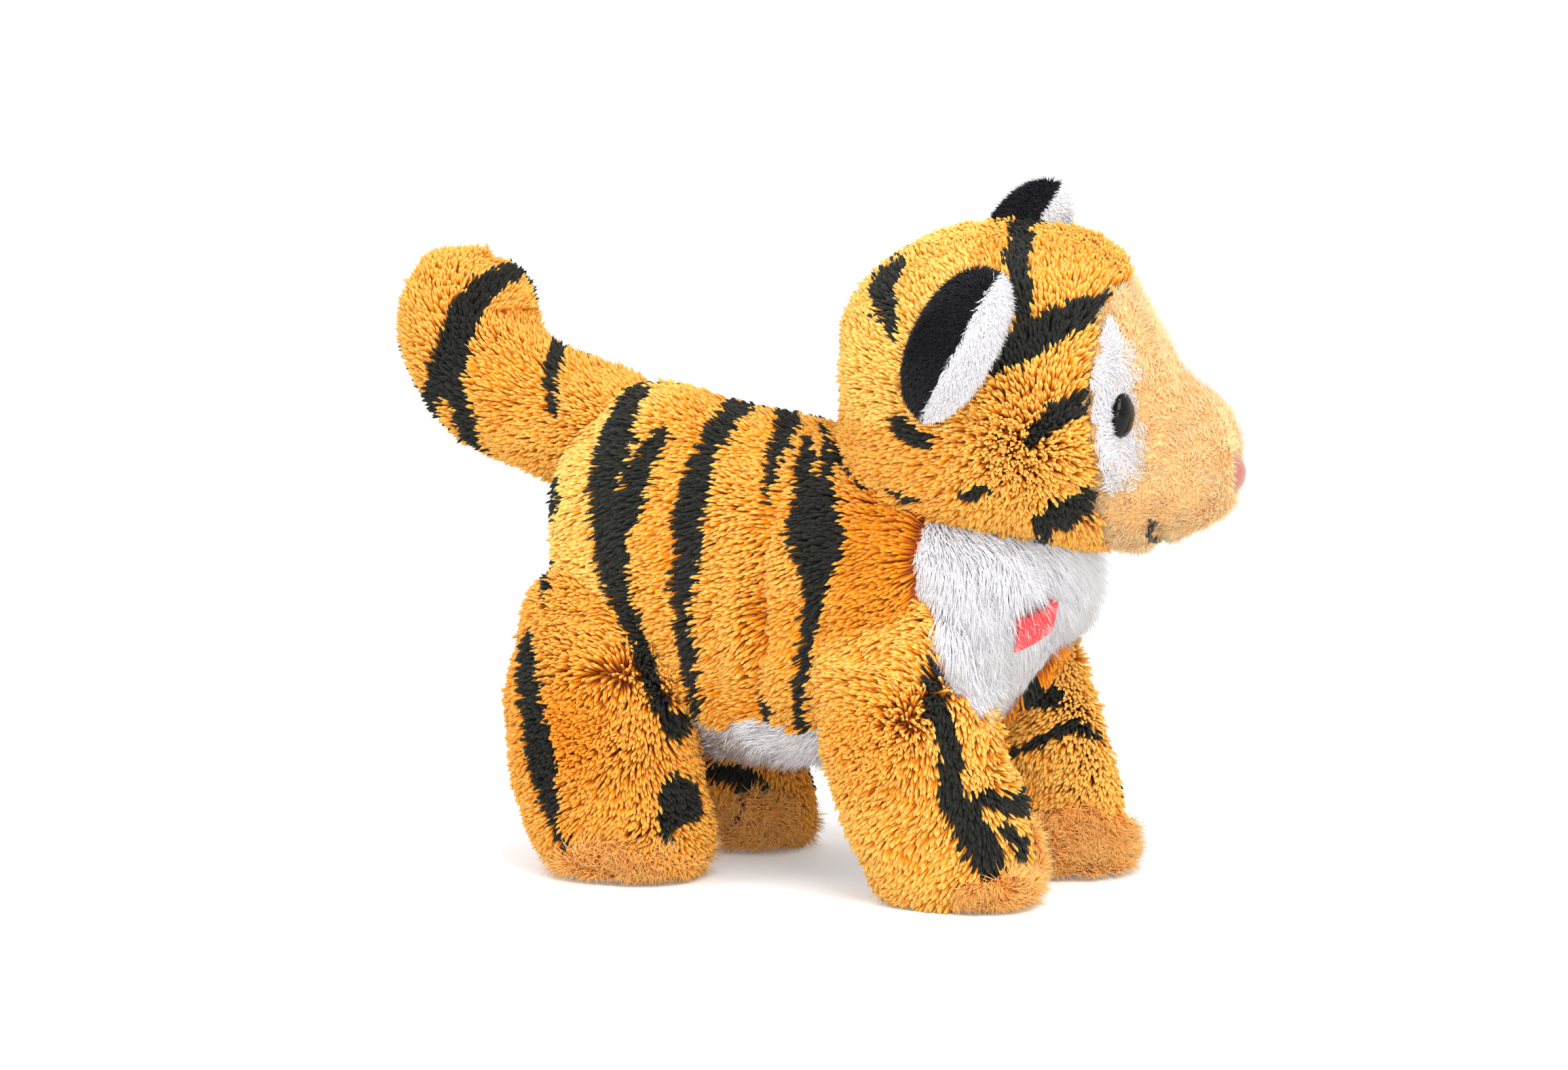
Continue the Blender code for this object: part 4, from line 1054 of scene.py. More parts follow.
def short_pile(name, points, normals, flow, stand, stray, seeds, size, material, slot, body, bend=-0.3):
    """One piece of short fine pile; the seeds are for its lay and for its strands."""
    way = lay_of_pile(points, normals, flow, stand, seeds[0], stray)
    fur = strand_piece(name, points, way, bend * normals, *size, material, seeds[1], HAIR_RINGS)
    return dressed(fur, slot, body)


def tube_piece(name, path, radius, sides, material):
    """A thread: rings square to a path, drawn in to a point at both ends."""
    ahead = unit(np.gradient(path, axis=0))
    side = unit(np.cross(ahead, [1.0, 0.0, 0.2]))
    ends = np.sin(np.pi * np.linspace(0, 1, len(path))) ** 0.25
    radii = radius * np.maximum(ends, 0.05)
    rings = path[:, None] + spokes(side, np.cross(ahead, side), sides) * radii[:, None, None]
    index = np.arange(len(path) * sides).reshape(-1, sides)
    faces = ring_quads(index) + [index[0][::-1].tolist(), index[-1].tolist()]
    return mesh_piece(name, rings.reshape(-1, 3), faces, material)


def smoothed(path, rounds):
    """A path whose inner points are drawn a quarter of the way to each neighbour, some rounds over."""
    path = path.copy()
    for _ in range(rounds):
        path[1:-1] = (path[:-2] + 2 * path[1:-1] + path[2:]) / 4
    return path


def seen_places(form, pixels, low):
    """The places of a form's cloth that the camera sees nearest to some pixels, and their normals."""
    points, normals = scattered(form, 1.5, 30, low)
    gap = np.linalg.norm(photo_pixels(points)[None] - np.asarray(pixels)[:, None], axis=2)
    nearest = np.argmin(gap + np.where(in_view(points, normals), 0.0, 1e6), axis=1)
    return points[nearest], normals[nearest]


def pile_skin(name, form, rings, facets, material, dye, other=None):
    """A form's closed skin, painted like the roots of its pile."""
    steps = np.linspace(0, 1, rings + 2)[1:-1]
    steps[-1] = max(steps[-1], form.ends[1])
    turns = np.arange(facets) / facets
    inner = cloth(form)
    poles = inner(np.repeat([[0.0], [1.0]], facets, axis=1), np.tile(turns, (2, 1))).mean(axis=1)
    made = closed_piece(name, inner(*np.meshgrid(steps, turns, indexing="ij")), poles, material, form.facing)
    points = read_vectors(made.data.vertices, "co")
    normals = read_vectors(made.data.vertices, "normal")
    pile = np.zeros((len(points), 4))
    pile[:, 0] = dye(points, normals)
    # The skin takes a colour low on the ramp, which carries the painted shade that lies between the roots.
    pile[:, 1:] = (0.4, 0.5, 1.0)
    if other is not None:
        pile[:, 3] = ~other(points, normals)
    write_pile(made.data, pile)
    return made

# %% [markdown]
# The trunk is a stuffed barrel of gold cloth. Its pile is brushed towards the tail and a little
# down, and it stands up in some patches and lies flat in others, which is what makes the flank
# look woolly. Tufts are left out where the legs, head and tail press on the trunk.
# %% Trunk
TUFT_LENGTH = 6.2 * MM
TUFT_WIDTH = 1.02 * MM
TUFTS_PER_MM2 = 1.28
PRESSED = 6.0 * MM
PATCH_SIZE = 30.0 * MM
SWIRL_SIZE = 22.0 * MM
PRINT_SHARE = 0.65
TRUNK_STAND = (0.12, 0.58)
TUFT_SWIRL = 0.32
TUFT_STRAY = 0.17
TUFT_TONE = 0.78
CROWN_STRAY = 0.28
CROWN_SHORTER = 0.14
CROWN_WIDER = 0.08
TRUNK_TONE = 0.80
RUMP_LIGHTER = 0.20
# Painted shade: on the shoulder the tufts are coloured further down their ramp, for the shade between them.
SHOULDER_PAINTED_SHADE = 0.16
STANDING_MORE = 0.3
SHOULDER_X = 22.0 * MM
SHOULDER_REACH = 16.0 * MM
RUMP_X = -30.0 * MM
CROWN_CALM = 8.0 * MM


def swirl(points, amount, seed):
    """A soft random vector field that turns the brushed way a little."""
    return amount * np.stack([wander(points, SWIRL_SIZE, seed + k) for k in range(3)], axis=-1)


def away_from(crown, points):
    """The way from a crown to each point, fading to nought on the crown itself."""
    way = points - crown
    return way / np.sqrt((way ** 2).sum(axis=1, keepdims=True) + CROWN_CALM ** 2)


def gold_tufts(name, points, normals, flow, stand, bend, dye, seed, body,
               crowd=0.0, covers=None, tone=TUFT_TONE):
    """One piece of gold pile, dyed by where the shown part of each tuft lies; plump near a crown."""
    crowd = np.broadcast_to(crowd, len(points))
    tone = np.broadcast_to(tone, len(points))
    flow = flow + swirl(points, TUFT_SWIRL, seed)
    way = lay_of_pile(points, normals, flow, stand, seed, TUFT_STRAY + CROWN_STRAY * crowd)
    if covers is not None:
        fine = ~covers(points + way * TUFT_LENGTH, normals)
        points, normals, way, bend, crowd, tone = kept(fine, points, normals, way, bend, crowd, tone)
    dyed = dye(points + way * (TUFT_LENGTH * PRINT_SHARE), normals)
    fur = strand_piece(name, points, way, bend, TUFT_LENGTH * (1 - CROWN_SHORTER * crowd),
                       TUFT_WIDTH * (1 + CROWN_WIDER * crowd), gold_pile, seed, TUFT_RINGS, dyed, tone)
    return dressed(fur, "gold_fur", body)


SIDES = {"right": -1, "left": 1}
# The far front leg's stripes run on over the low chest
trunk_dye = dye_of(BODY_LINES + FAR_FRONT_LINES, BODY_LINES, mirrored, 11)
BIB_BACK_X = HIPS["front_leg_right"][0] + 8.0 * MM
BIB_SLOPE = 14.0 * MM
BIB_TURN_HEIGHT = 70.0 * MM
BIB_TURN_RISE = 35.0 * MM
BELLY_EDGE = 46.5 * MM
BELLY_FRONT = 50.0 * MM
BIB_EDGE = np.array([
    # the V's lower edge from left to right, in the picture's pixels
    (1330, 800), (1345, 850), (1355, 885), (1370, 935), (1395, 995), (1425, 1040), (1447, 1076),
    (1485, 1038), (1518, 998), (1550, 948), (1595, 925), (1660, 910)], float)
PIXEL = 0.177 * MM
EDGE_WOBBLE = 1.2 * MM
EDGE_HILLS = 9.0 * MM
BELLY_HILLS = 14.0 * MM
BIB_COVERED = 1.5 * MM


def above_edge(points):
    """How far a point lies above the bib's V-shaped lower edge in the picture, in metres."""
    pixels = photo_pixels(points)
    above = (np.interp(pixels[:, 0], *BIB_EDGE.T) - pixels[:, 1]) * PIXEL
    return above + EDGE_WOBBLE * wander(points, EDGE_HILLS, 4)


def on_bib(points):
    """How far a point lies inside the white bib, in metres: the front of the chest, down to its V."""
    low = np.clip((BIB_TURN_HEIGHT - points[:, 2]) / BIB_TURN_RISE, 0, 1)
    ahead = points[:, 0] - BIB_BACK_X - BIB_SLOPE * low + EDGE_WOBBLE * wander(points, EDGE_HILLS, 4)
    return np.minimum(ahead, above_edge(points))


def on_belly(points):
    """How far a point lies inside the white belly, in metres: everything low between the legs."""
    inside = np.minimum(BELLY_EDGE - points[:, 2], BELLY_FRONT - points[:, 0])
    return inside + EDGE_WOBBLE * wander(points, BELLY_HILLS, 5)


def is_white(points, normals):
    """True on the bib and the belly."""
    return (on_belly(points) > 0) | (on_bib(points) > 0)


trunk_skin = pile_skin("trunk_skin", trunk, 90, 120, gold_pile, trunk_dye, is_white)
dressed(trunk_skin, "gold_fur", "trunk", "trunk_stuffing", "side_panel_right", "side_panel_left",
        "belly_panel", "chest_bib")

CROWN_PER_MM2 = 0.9
FORMS = {"trunk": trunk, "tail": tail, "head": head, **legs}


def clear_of(points, names, press=PRESSED):
    """True where a point isn't pressed inside the named neighbours."""
    return np.all([FORMS[name].depth(points) < press for name in names], axis=0)


def covers_bib(points, normals):
    """True where a tuft's tip would hide the bib's edge from the camera."""
    return in_view(points, normals) & (above_edge(points) > BIB_COVERED)


def with_filling(form, crown, reach, others, points, normals):
    """The same roots with more between them round a crown, where standing tufts would leave gaps."""
    more, ways = scattered(form, CROWN_PER_MM2, 41)
    close = (np.linalg.norm(more - crown, axis=1) < reach) & clear_of(more, others)
    return np.concatenate([points, more[close]]), np.concatenate([normals, ways[close]])


def near_crown(points, crown, reach):
    """One on a crown, nought beyond its reach: a bell with a flat top."""
    return np.exp(-(np.linalg.norm(points - crown, axis=1) / reach) ** 4)


points, normals = scattered(trunk, TUFTS_PER_MM2, 21)
points, normals = kept(clear_of(points, ["head", "tail", *legs]), points, normals)
white = is_white(points, normals)
PILE_WAY = np.array([-1.0, 0.0, -0.45])
for side_name, side in SIDES.items():
    p, n = kept(~white & ((points[:, 1] - MIDDLE_Y) * side > 0), points, normals)
    shoulder = np.clip((p[:, 0] - SHOULDER_X) / SHOULDER_REACH, 0, 1)
    rump = np.clip((RUMP_X - p[:, 0]) / SHOULDER_REACH, 0, 1)
    raised = STANDING_MORE * shoulder + STANDING_MORE * fold_share(p[:, 0], p[:, 2])
    stand = stand_of_pile(p, PATCH_SIZE, *TRUNK_STAND, 31) + raised
    # The tone drops at the shoulder as painted shade.
    gold_tufts(f"trunk_pile_{side_name}", p, n, np.broadcast_to(PILE_WAY, p.shape), stand,
               unit(PILE_WAY)[None] * 0.30 - n * 0.15, trunk_dye, 51, "trunk",
               tone=TRUNK_TONE + RUMP_LIGHTER * rump - SHOULDER_PAINTED_SHADE * shoulder)

# %% [markdown]
# Under the belly lies a strip of soft white pile, finer than the gold one.
# %% Belly
BELLY_PER_MM2 = 2.3
BELLY_HAIR = (6.5 * MM, 0.56 * MM)
BELLY_SWIRL = 0.8
BELLY_PATCHES = 9.0 * MM
BELLY_STAND = (0.25, 0.7)
BELLY_STRAY = 0.28
points, normals = scattered(trunk, BELLY_PER_MM2, 27)
mask = clear_of(points, ["tail", *legs]) & (on_belly(points) > 0) & (on_bib(points) <= 0)
p, n = kept(mask, points, normals)
short_pile("belly_pile", p, n, PILE_WAY + swirl(p, BELLY_SWIRL, 62),
           stand_of_pile(p, BELLY_PATCHES, *BELLY_STAND, 35), BELLY_STRAY, (42, 52), BELLY_HAIR,
           white_pile, "white_fur", "trunk", -0.2)

# %% [markdown]
# The bib is a different cloth: long, fine and straight, combed down the chest to a V-shaped edge.
# Its strands are more than twice as long as the tufts and a third as wide, with finer wisps between
# them. The V's point hangs over the top of the near front leg, so the strands there grow on the leg
# and ride it.
# %% Bib
BIB_LENGTH = 15.0 * MM
BIB_SHORTEST = 3.5 * MM
BIB_SPARE = 1.5 * MM
JAW_PRESSED = 14.0 * MM
BIB_PATCHES = 9.0 * MM
BIB_WAY = np.array([0.05, 0.0, -1.0])
BIB_LOW = {"trunk": 0.70, "front_leg_right": 0.02}
BIB_KINDS = {
    # strands to a square mm, width, rings, root seed, swirl and its seed, stand, stray, reach past the V
    "pile": (2.6, 0.36 * MM, LOCK_RINGS, 22, (0.35, 61), (0.25, 0.60), 0.25, 2.5 * MM),
    "wisps": (3.2, 0.20 * MM, HAIR_RINGS, 40, (0.6, 67), (0.35, 0.85), 0.45, 4.0 * MM),
}


def bib_strands(name, form, others, body, kind, seed):
    """Long white strands combed down, shorter towards the bib's edge, and none whose tip leaves it."""
    per_mm2, width, rings, root_seed, turning, stands, stray, past = BIB_KINDS[kind]
    points, normals = scattered(form, per_mm2, root_seed, low=BIB_LOW[body])
    inside = on_bib(points) if body == "trunk" else above_edge(points)
    mask = clear_of(points, others) & clear_of(points, ["head"], JAW_PRESSED) & (inside > 0)
    mask &= in_view(points, normals) | (body == "trunk")
    p, n, inside = kept(mask, points, normals, inside)
    comb = BIB_WAY + swirl(p, *turning)
    way = lay_of_pile(p, n, comb, stand_of_pile(p, BIB_PATCHES, *stands, 38), 43 + seed, stray)
    length = np.clip(inside + BIB_SPARE, BIB_SHORTEST, BIB_LENGTH)
    fine = above_edge(p + way * length[:, None]) > -past
    p, n, way, length = kept(fine, p, n, way, length)
    fur = strand_piece(name, p, way, np.array([0.0, 0.0, -0.25]) - 0.25 * n, length, width, white_pile,
                       53 + seed, rings)
    dressed(fur, "bib_fur", body)


near_leg = legs["front_leg_right"]
bib_strands("bib_pile", trunk, list(legs), "trunk", "pile", 0)
bib_strands("bib_wisps", trunk, list(legs), "trunk", "wisps", 1)
bib_strands("bib_edge_pile", near_leg, ["trunk"], "front_leg_right", "pile", 2)
bib_strands("bib_edge_wisps", near_leg, ["trunk"], "front_leg_right", "wisps", 3)

# %% [markdown]
# The legs wear the gold pile, brushed away from a crown on their outer side, where it stands
# straight out. A fluffy peach pile covers each sole. It shows as a rim under the near feet, and on
# the two far feet it climbs over the toes that the camera looks at.
# %% Legs
FAR_HIND_SOLE = (1106, 1216, 64, 42)
FAR_FRONT_SOLE = (1594, 1243, 86, 52)
NEAR_HIND_SOLE = (910, 1300, 118, 52)
NEAR_FRONT_SOLE = (1478, 1338, 78, 44)
LEG_LOOKS = {
    "hind_leg_right": (NEAR_HIND_LINES + BODY_LINES, FAR_HIND_LINES, NEAR_HIND_SOLE, FAR_HIND_SOLE),
    "front_leg_right": (NEAR_FRONT_LINES + BODY_LINES, FAR_FRONT_LINES, NEAR_FRONT_SOLE, FAR_FRONT_SOLE),
    "hind_leg_left": (FAR_HIND_LINES, NEAR_HIND_LINES + BODY_LINES, FAR_HIND_SOLE, NEAR_HIND_SOLE),
    "front_leg_left": (FAR_FRONT_LINES, NEAR_FRONT_LINES + BODY_LINES, FAR_FRONT_SOLE, NEAR_FRONT_SOLE),
}
LEG_STAND = {True: (0.35, 0.90), False: (0.15, 0.55)}
CROWN_DROP = 16.0 * MM
CROWN_REACH = 15.0 * MM
CROWN_PULL = 0.45
LEG_WAY = np.array([-0.65, 0.0, -0.45])
LEG_TONE = {True: 0.75, False: 0.86}
# Painted shade: round a leg's crown the tufts stand end-on and are coloured further down their ramp, for the
# shade in the gaps between them.
CROWN_PAINTED_SHADE = 0.14
FOOT_LINE = 2.0 * MM
SOLE_PER_MM2 = 4.4
SOLE_HAIR = (6.0 * MM, 0.40 * MM)
SOLE_WAY = np.array([0.3, 0.0, 0.1])
SOLE_SWIRL = 1.2
SOLE_PATCHES = 7.0 * MM
SOLE_STAND = (0.35, 0.85)
SOLE_STRAY = 0.8
SOLE_OVERLAP = 0.12
SOLE_WOBBLE = 0.25
SOLE_HILLS = 8.0 * MM
SOLE_TOP = 0.6


def in_oval(pixels, oval):
    """One at the middle of an oval in the picture, nought on its edge."""
    return 1 - ((pixels[:, 0] - oval[0]) / oval[2]) ** 2 - ((pixels[:, 1] - oval[1]) / oval[3]) ** 2


def on_sole(points, normals, own, twin):
    """How far inside the peach sole a point lies: low down, or in the oval seen in the picture."""
    seen = read_picture(points, normals, mirrored, in_oval, own, twin)
    return np.maximum(seen + SOLE_WOBBLE * wander(points, SOLE_HILLS, 6), (FOOT_LINE - points[:, 2]) / MM)


for name, form in legs.items():
    shown_lines, twin_lines, *ovals = LEG_LOOKS[name]
    leg_dye = dye_of(shown_lines, twin_lines, mirrored, 12)
    skin = pile_skin(f"{name}_skin", form, 60, 80, gold_and_peach, leg_dye,
                     lambda points, normals: on_sole(points, normals, *ovals) > 0)
    dressed(skin, "gold_fur", name, f"{name}_cover", f"{name}_stuffing", f"{name}_sole")
    others = ["trunk", "head"] + [other for other in legs if other != name]
    points, normals = scattered(form, TUFTS_PER_MM2, 23)
    p, n = kept(clear_of(points, others) & (on_sole(points, normals, *ovals) < SOLE_OVERLAP), points, normals)
    hind = name.startswith("hind")
    hip = HIPS[name]
    side = np.sign(hip[1] - MIDDLE_Y)
    crown = np.array([hip[0], hip[1] + side * LEG_WIDTH / 2, hip[2] - CROWN_DROP])
    p, n = with_filling(form, crown, CROWN_REACH, others, p, n)
    near = near_crown(p, crown, CROWN_REACH)
    flow = CROWN_PULL * away_from(crown, p) + LEG_WAY
    stand = np.maximum(stand_of_pile(p, PATCH_SIZE, *LEG_STAND[hind], 32), 0.9 * near)
    # Round the crown the tone drops: painted shade between the standing tufts.
    gold_tufts(f"{name}_pile", p, n, flow, stand, np.array([0.0, 0.0, -0.25]) - 0.15 * n, leg_dye, 54, name,
               near, covers_bib if name == "front_leg_right" else None, LEG_TONE[hind] - CROWN_PAINTED_SHADE * near)

    points, normals = scattered(form, SOLE_PER_MM2, 28, low=SOLE_TOP)
    outer = points + normals * (PILE_HEIGHT - FACE_PILE_HEIGHT)
    fluffy = on_sole(outer, normals, *ovals) > -SOLE_OVERLAP
    p, n = kept(fluffy & clear_of(points, others), outer, normals)
    stand = stand_of_pile(p, SOLE_PATCHES, *SOLE_STAND, 37)
    short_pile(f"{name}_sole_pile", p, n, swirl(p, SOLE_SWIRL, 63) + SOLE_WAY, stand, SOLE_STRAY,
               (48, 58), SOLE_HAIR, sole_pile, "peach_fur", name)

# The far hind foot shows one stitch of dark thread between its toes
STITCH_PIXELS = np.array([(1099, 1177), (1093, 1197), (1078, 1214)], float)
STITCH_LIFT = 4.2 * MM
STITCH_RADIUS = 0.55 * MM
places, ways = seen_places(legs["hind_leg_left"], curve_at(STITCH_PIXELS, np.linspace(0, 1, 24)), 0.5)
thread = plain_material("black_thread", (0.008, 0.008, 0.008), 0.7)
stitch = tube_piece("toe_stitch", smoothed(places + ways * STITCH_LIFT, 10), STITCH_RADIUS, 8, thread)
dressed(stitch, "black_thread", "hind_leg_left")

# %% [markdown]
# The tail is a stuffed tube that curls up over the rump. Its pile runs away from the root.
# %% Tail
TAIL_STAND = (0.4, 0.9)
TAIL_DROOP = np.array([0.0, 0.0, -0.2])
tail_dye = dye_of(TAIL_LINES, TAIL_LINES, mirrored, 13)
tail_skin = pile_skin("tail_skin", tail, 60, 64, gold_pile, tail_dye)
dressed(tail_skin, "gold_fur", "tail", "tail_cover", "tail_stuffing")
along, around = spread_roots(tail, TUFTS_PER_MM2, 24)
points, normals = at_cloth(tail, along, around)
along, p, n = kept(clear_of(points, ["trunk"]), along, points, normals)
ahead = slope(lambda share: tail(share, np.full(len(p), 0.25)), along)
gold_tufts("tail_pile", p, n, ahead, stand_of_pile(p, PATCH_SIZE, *TAIL_STAND, 33), TAIL_DROOP,
           tail_dye, 55, "tail")

# %% [markdown]
# The head is a ball of the same gold pile with a face of short peach pile let into its front.
# The seam between them runs round the face a third of the way back from the nose. A white leaf
# of cloth is sewn round each eye.
# %% Head
EYE_PLACE = np.array([42.3, 31.5, 0.7]) * MM
EYE_TURN = math.radians(8.0)
EYE_RADIUS = 6.2 * MM
NOSE_PLACE = np.array([65.8, 0.0, -23.8]) * MM
NOSE_HALF_WIDTH = 8.6 * MM
NOSE_HALF_HEIGHT = 5.8 * MM
PATCH_LINES = [[(1630, 486, 6), (1634, 515, 40), (1636, 555, 58), (1638, 592, 62), (1642, 625, 64),
                (1646, 650, 70), (1647, 680, 52), (1645, 706, 28), (1642, 722, 6)]]
PATCH_BACK = 8.0 * MM
CHEEK_CROWN = np.array([14.0, -47.0, -12.0]) * MM
CHEEK_REACH = 19.0 * MM
FACE_PER_MM2 = 6.6
FACE_HAIR = (3.2 * MM, 0.30 * MM)
PATCH_HAIR = (2.8 * MM, 0.30 * MM)
HEAD_TONE = 0.80
SKULL_LIGHTER = 0.13
WAVY = 1.2 * MM
FACE_HILLS = 9.0 * MM
PATCH_WOBBLE = 4.0
PATCH_HILLS = 4.0 * MM
PATCH_COVERED = 3.0
FACE_COVERED = 2.5 * MM
FACE_OVERLAP = 1.5 * MM
HEAD_STAND = (0.25, 0.7)
HEAD_WAY = np.array([-0.2, 0.0, -0.2])
FACE_PATCHES = 6.0 * MM
FACE_STAND = (0.12, 0.55)
FACE_SWIRL = 0.9
FACE_STRAY = 0.6
LEAF_WAY = np.array([0.2, 0.0, -0.3])
LEAF_STAND = 0.5
LEAF_STRAY = 0.5
LEAF_OVERLAP = 8
UNDER_EYE = 0.85
UNDER_NOSE = 0.9
NOSE_BACK = 50.0 * MM
LIP_GAP = 1.3 * MM
head_dye = dye_of(HEAD_LINES, HEAD_LINES, head_mirrored, 14)


def on_face(local):
    """How far a point lies inside the peach face, in metres."""
    return local[:, 0] - face_seam(local) + WAVY * wander(local, FACE_HILLS, 7)


def on_patch(points, normals):
    """How far a point lies inside the white leaf round the eye, in the picture's pixels."""
    inside = read_picture(points, normals, head_mirrored, inside_lines, PATCH_LINES, PATCH_LINES)
    inside = inside + PATCH_WOBBLE * wander(points, PATCH_HILLS, 8)
    return np.where(to_head(points)[:, 0] > PATCH_BACK, inside, -1.0)


def is_face(points, normals):
    """True on the peach face and on the leaves round the eyes."""
    return (on_face(to_head(points)) > 0) | (on_patch(points, normals) > 0)


def covers_face(points, normals):
    """True where a tuft's tip would hide the face or the leaf round the eye."""
    return (on_patch(points, normals) > PATCH_COVERED) | (on_face(to_head(points)) > FACE_COVERED)


head_skin = pile_skin("head_skin", head, 110, 130, gold_and_peach, head_dye, is_face)
dressed(head_skin, "gold_fur", "head", "head_side_right", "head_side_left", "face_panel", "head_stuffing",
        "eye_patch_right", "eye_patch_left")
points, normals = scattered(head, TUFTS_PER_MM2, 25)
local = to_head(points)
free = clear_of(points, ["trunk"]) & (on_face(local) < 0) & (on_patch(points, normals) < 0)
points, normals, local = kept(free, points, normals, local)
for side_name, side in SIDES.items():
    p, n = kept(local[:, 1] * side > 0, points, normals)
    crown = from_head(CHEEK_CROWN * [1, -side, 1])
    p, n = with_filling(head, crown, CHEEK_REACH, ["trunk"], p, n)
    own = to_head(p)
    near = near_crown(p, crown, CHEEK_REACH)
    flow = away_from(crown, p) + HEAD_WAY
    stand = np.maximum(stand_of_pile(p, PATCH_SIZE, *HEAD_STAND, 34), 0.97 * near)
    tone = HEAD_TONE + SKULL_LIGHTER * (own[:, 0] < 0) * (own[:, 2] > 0)
    gold_tufts(f"head_pile_{side_name}", p, n, flow, stand, np.array([0.0, 0.0, -0.15]) - 0.2 * n,
               head_dye, 56, "head", near, covers_face, tone)

points, normals = scattered(head, FACE_PER_MM2, 26, low=0.35)
local = to_head(points)
patch = on_patch(points, normals)
NOSE_BRIDGE = from_head(np.array([71.0, 0.0, -20.0]) * MM)
folded = np.stack([local[:, 0], np.abs(local[:, 1]), local[:, 2]], axis=-1)
off_eye = np.linalg.norm(folded - EYE_PLACE, axis=1) > EYE_RADIUS * UNDER_EYE
across = local[:, 1] / NOSE_HALF_WIDTH
upward = (local[:, 2] - NOSE_PLACE[2]) / NOSE_HALF_HEIGHT
off_nose = (across ** 2 + upward ** 2 > UNDER_NOSE) | (local[:, 0] < NOSE_BACK)
lips = curve_at(MOUTH_LINE, np.linspace(0, 1, 24))
off_mouth = np.linalg.norm(folded[:, None] - lips[None], axis=2).min(axis=1) > LIP_GAP
bare = (on_face(local) > -FACE_OVERLAP) & (patch < 0) & off_eye & off_nose & off_mouth
for side_name, side in SIDES.items():
    p, n = kept(bare & (local[:, 1] * side > 0), points, normals)
    stand = stand_of_pile(p, FACE_PATCHES, *FACE_STAND, 37)
    short_pile(f"face_pile_{side_name}", p, n, unit(p - NOSE_BRIDGE) + swirl(p, FACE_SWIRL, 64), stand,
               FACE_STRAY, (47, 57), FACE_HAIR, peach_pile, "peach_fur", "head")
p, n = kept((patch >= -LEAF_OVERLAP) & (local[:, 0] > PATCH_BACK) & off_eye, points, normals)
p = p + n * np.clip(cloth_depth(head, p) - FACE_PILE_HEIGHT, 0, None)[:, None]
short_pile("eye_patch_pile", p, n, swirl(p, 1.0, 65) + LEAF_WAY, np.full(len(p), LEAF_STAND), LEAF_STRAY,
           (49, 59), PATCH_HAIR, white_pile, "white_fur", "head")

# %% [markdown]
# Each ear is a small padded cup: black velour behind and a white lining in front, sewn to the
# head by its lower edge. It is worked out like the other forms, as half turns from the middle of
# the back, over the rim, to the middle of the lining.
# %% Ears
EAR_DEPTH = 13.0 * MM
EAR_HALF_WIDTH = 21.0 * MM
EAR_HALF_HEIGHT = 22.0 * MM
EAR_LEAN = math.radians(28.0)
EAR_SPLAY = math.radians(22.0)
EAR_SIDE = 44.0 * MM
EAR_RISE = 23.0 * MM
EAR_LIFT = 5.0 * MM
EAR_PILE = 1.2 * MM
LINING_FLATNESS = 0.8
LINING_EDGE = 0.2
EAR_PER_MM2 = 3.6
EAR_HAIR = (2.4 * MM, 0.5 * MM)
EAR_WAY = np.array([-0.2, 0.0, -0.6])
EAR_SWIRL = 0.5
EAR_STAND = 0.6
EAR_STRAY = 0.4
EAR_SUNK = 3.0 * MM
EARS = {"right": (-1, -1.5 * MM, 0.0), "left": (1, 2.0 * MM, EAR_LIFT)}
EAR_CLOTHS = [
    # piece, first and last share along the ear, material, slot
    ("velour", None, 0.5, velour_pile, "ear_velour"),
    ("lining", 0.5, None, white_pile, "white_fur"),
]
EAR_TURN = HEAD_TURN @ turn_matrix(EAR_LEAN, "Y")


def ear_form(side, forward, lift):
    """One ear's form: an egg with a flatter front, turned and leaned from the head's own axes."""
    turned = EAR_TURN @ turn_matrix(side * EAR_SPLAY, "X")
    middle = from_head(np.array([forward, side * EAR_SIDE, EAR_RISE + lift]))

    def points(along, around):
        """A half turn along runs from the back's middle over the rim to the lining's middle."""
        deep = -np.cos(math.pi * along) * EAR_DEPTH
        deep = np.where(deep > 0, deep * LINING_FLATNESS, deep)
        reach = np.sin(math.pi * along) ** 0.9
        turn = 2 * math.pi * around
        local = np.stack([deep, reach * np.cos(turn) * EAR_HALF_WIDTH,
                          reach * np.sin(turn) * EAR_HALF_HEIGHT], axis=-1)
        return local @ turned.T + middle

    return as_form(points, (0.003, 0.997), None, pile=EAR_PILE)


def is_lining(points, normals):
    """True on an ear's white front."""
    return normals @ (EAR_TURN @ np.array([1.0, 0.0, 0.0])) > LINING_EDGE


for side_name, (side, forward, lift) in EARS.items():
    ear = ear_form(side, forward, lift)
    body = f"ear_{side_name}"
    no_dye = dye_of([], [], mirrored, 15)
    skin = pile_skin(f"ear_skin_{side_name}", ear, 40, 60, velour_pile, no_dye, is_lining)
    dressed(skin, "ear_velour", body, f"ear_back_{side_name}", f"ear_lining_{side_name}")
    for piece, low, high, material, cloth_name in EAR_CLOTHS:
        points, normals = scattered(ear, EAR_PER_MM2, 29, low, high)
        p, n = kept(head_depth(points) < EAR_SUNK, points, normals)
        short_pile(f"ear_{piece}_{side_name}", p, n, swirl(p, EAR_SWIRL, 66) + EAR_WAY,
                   np.full(len(p), EAR_STAND), EAR_STRAY, (50, 60), EAR_HAIR, material, cloth_name, body)

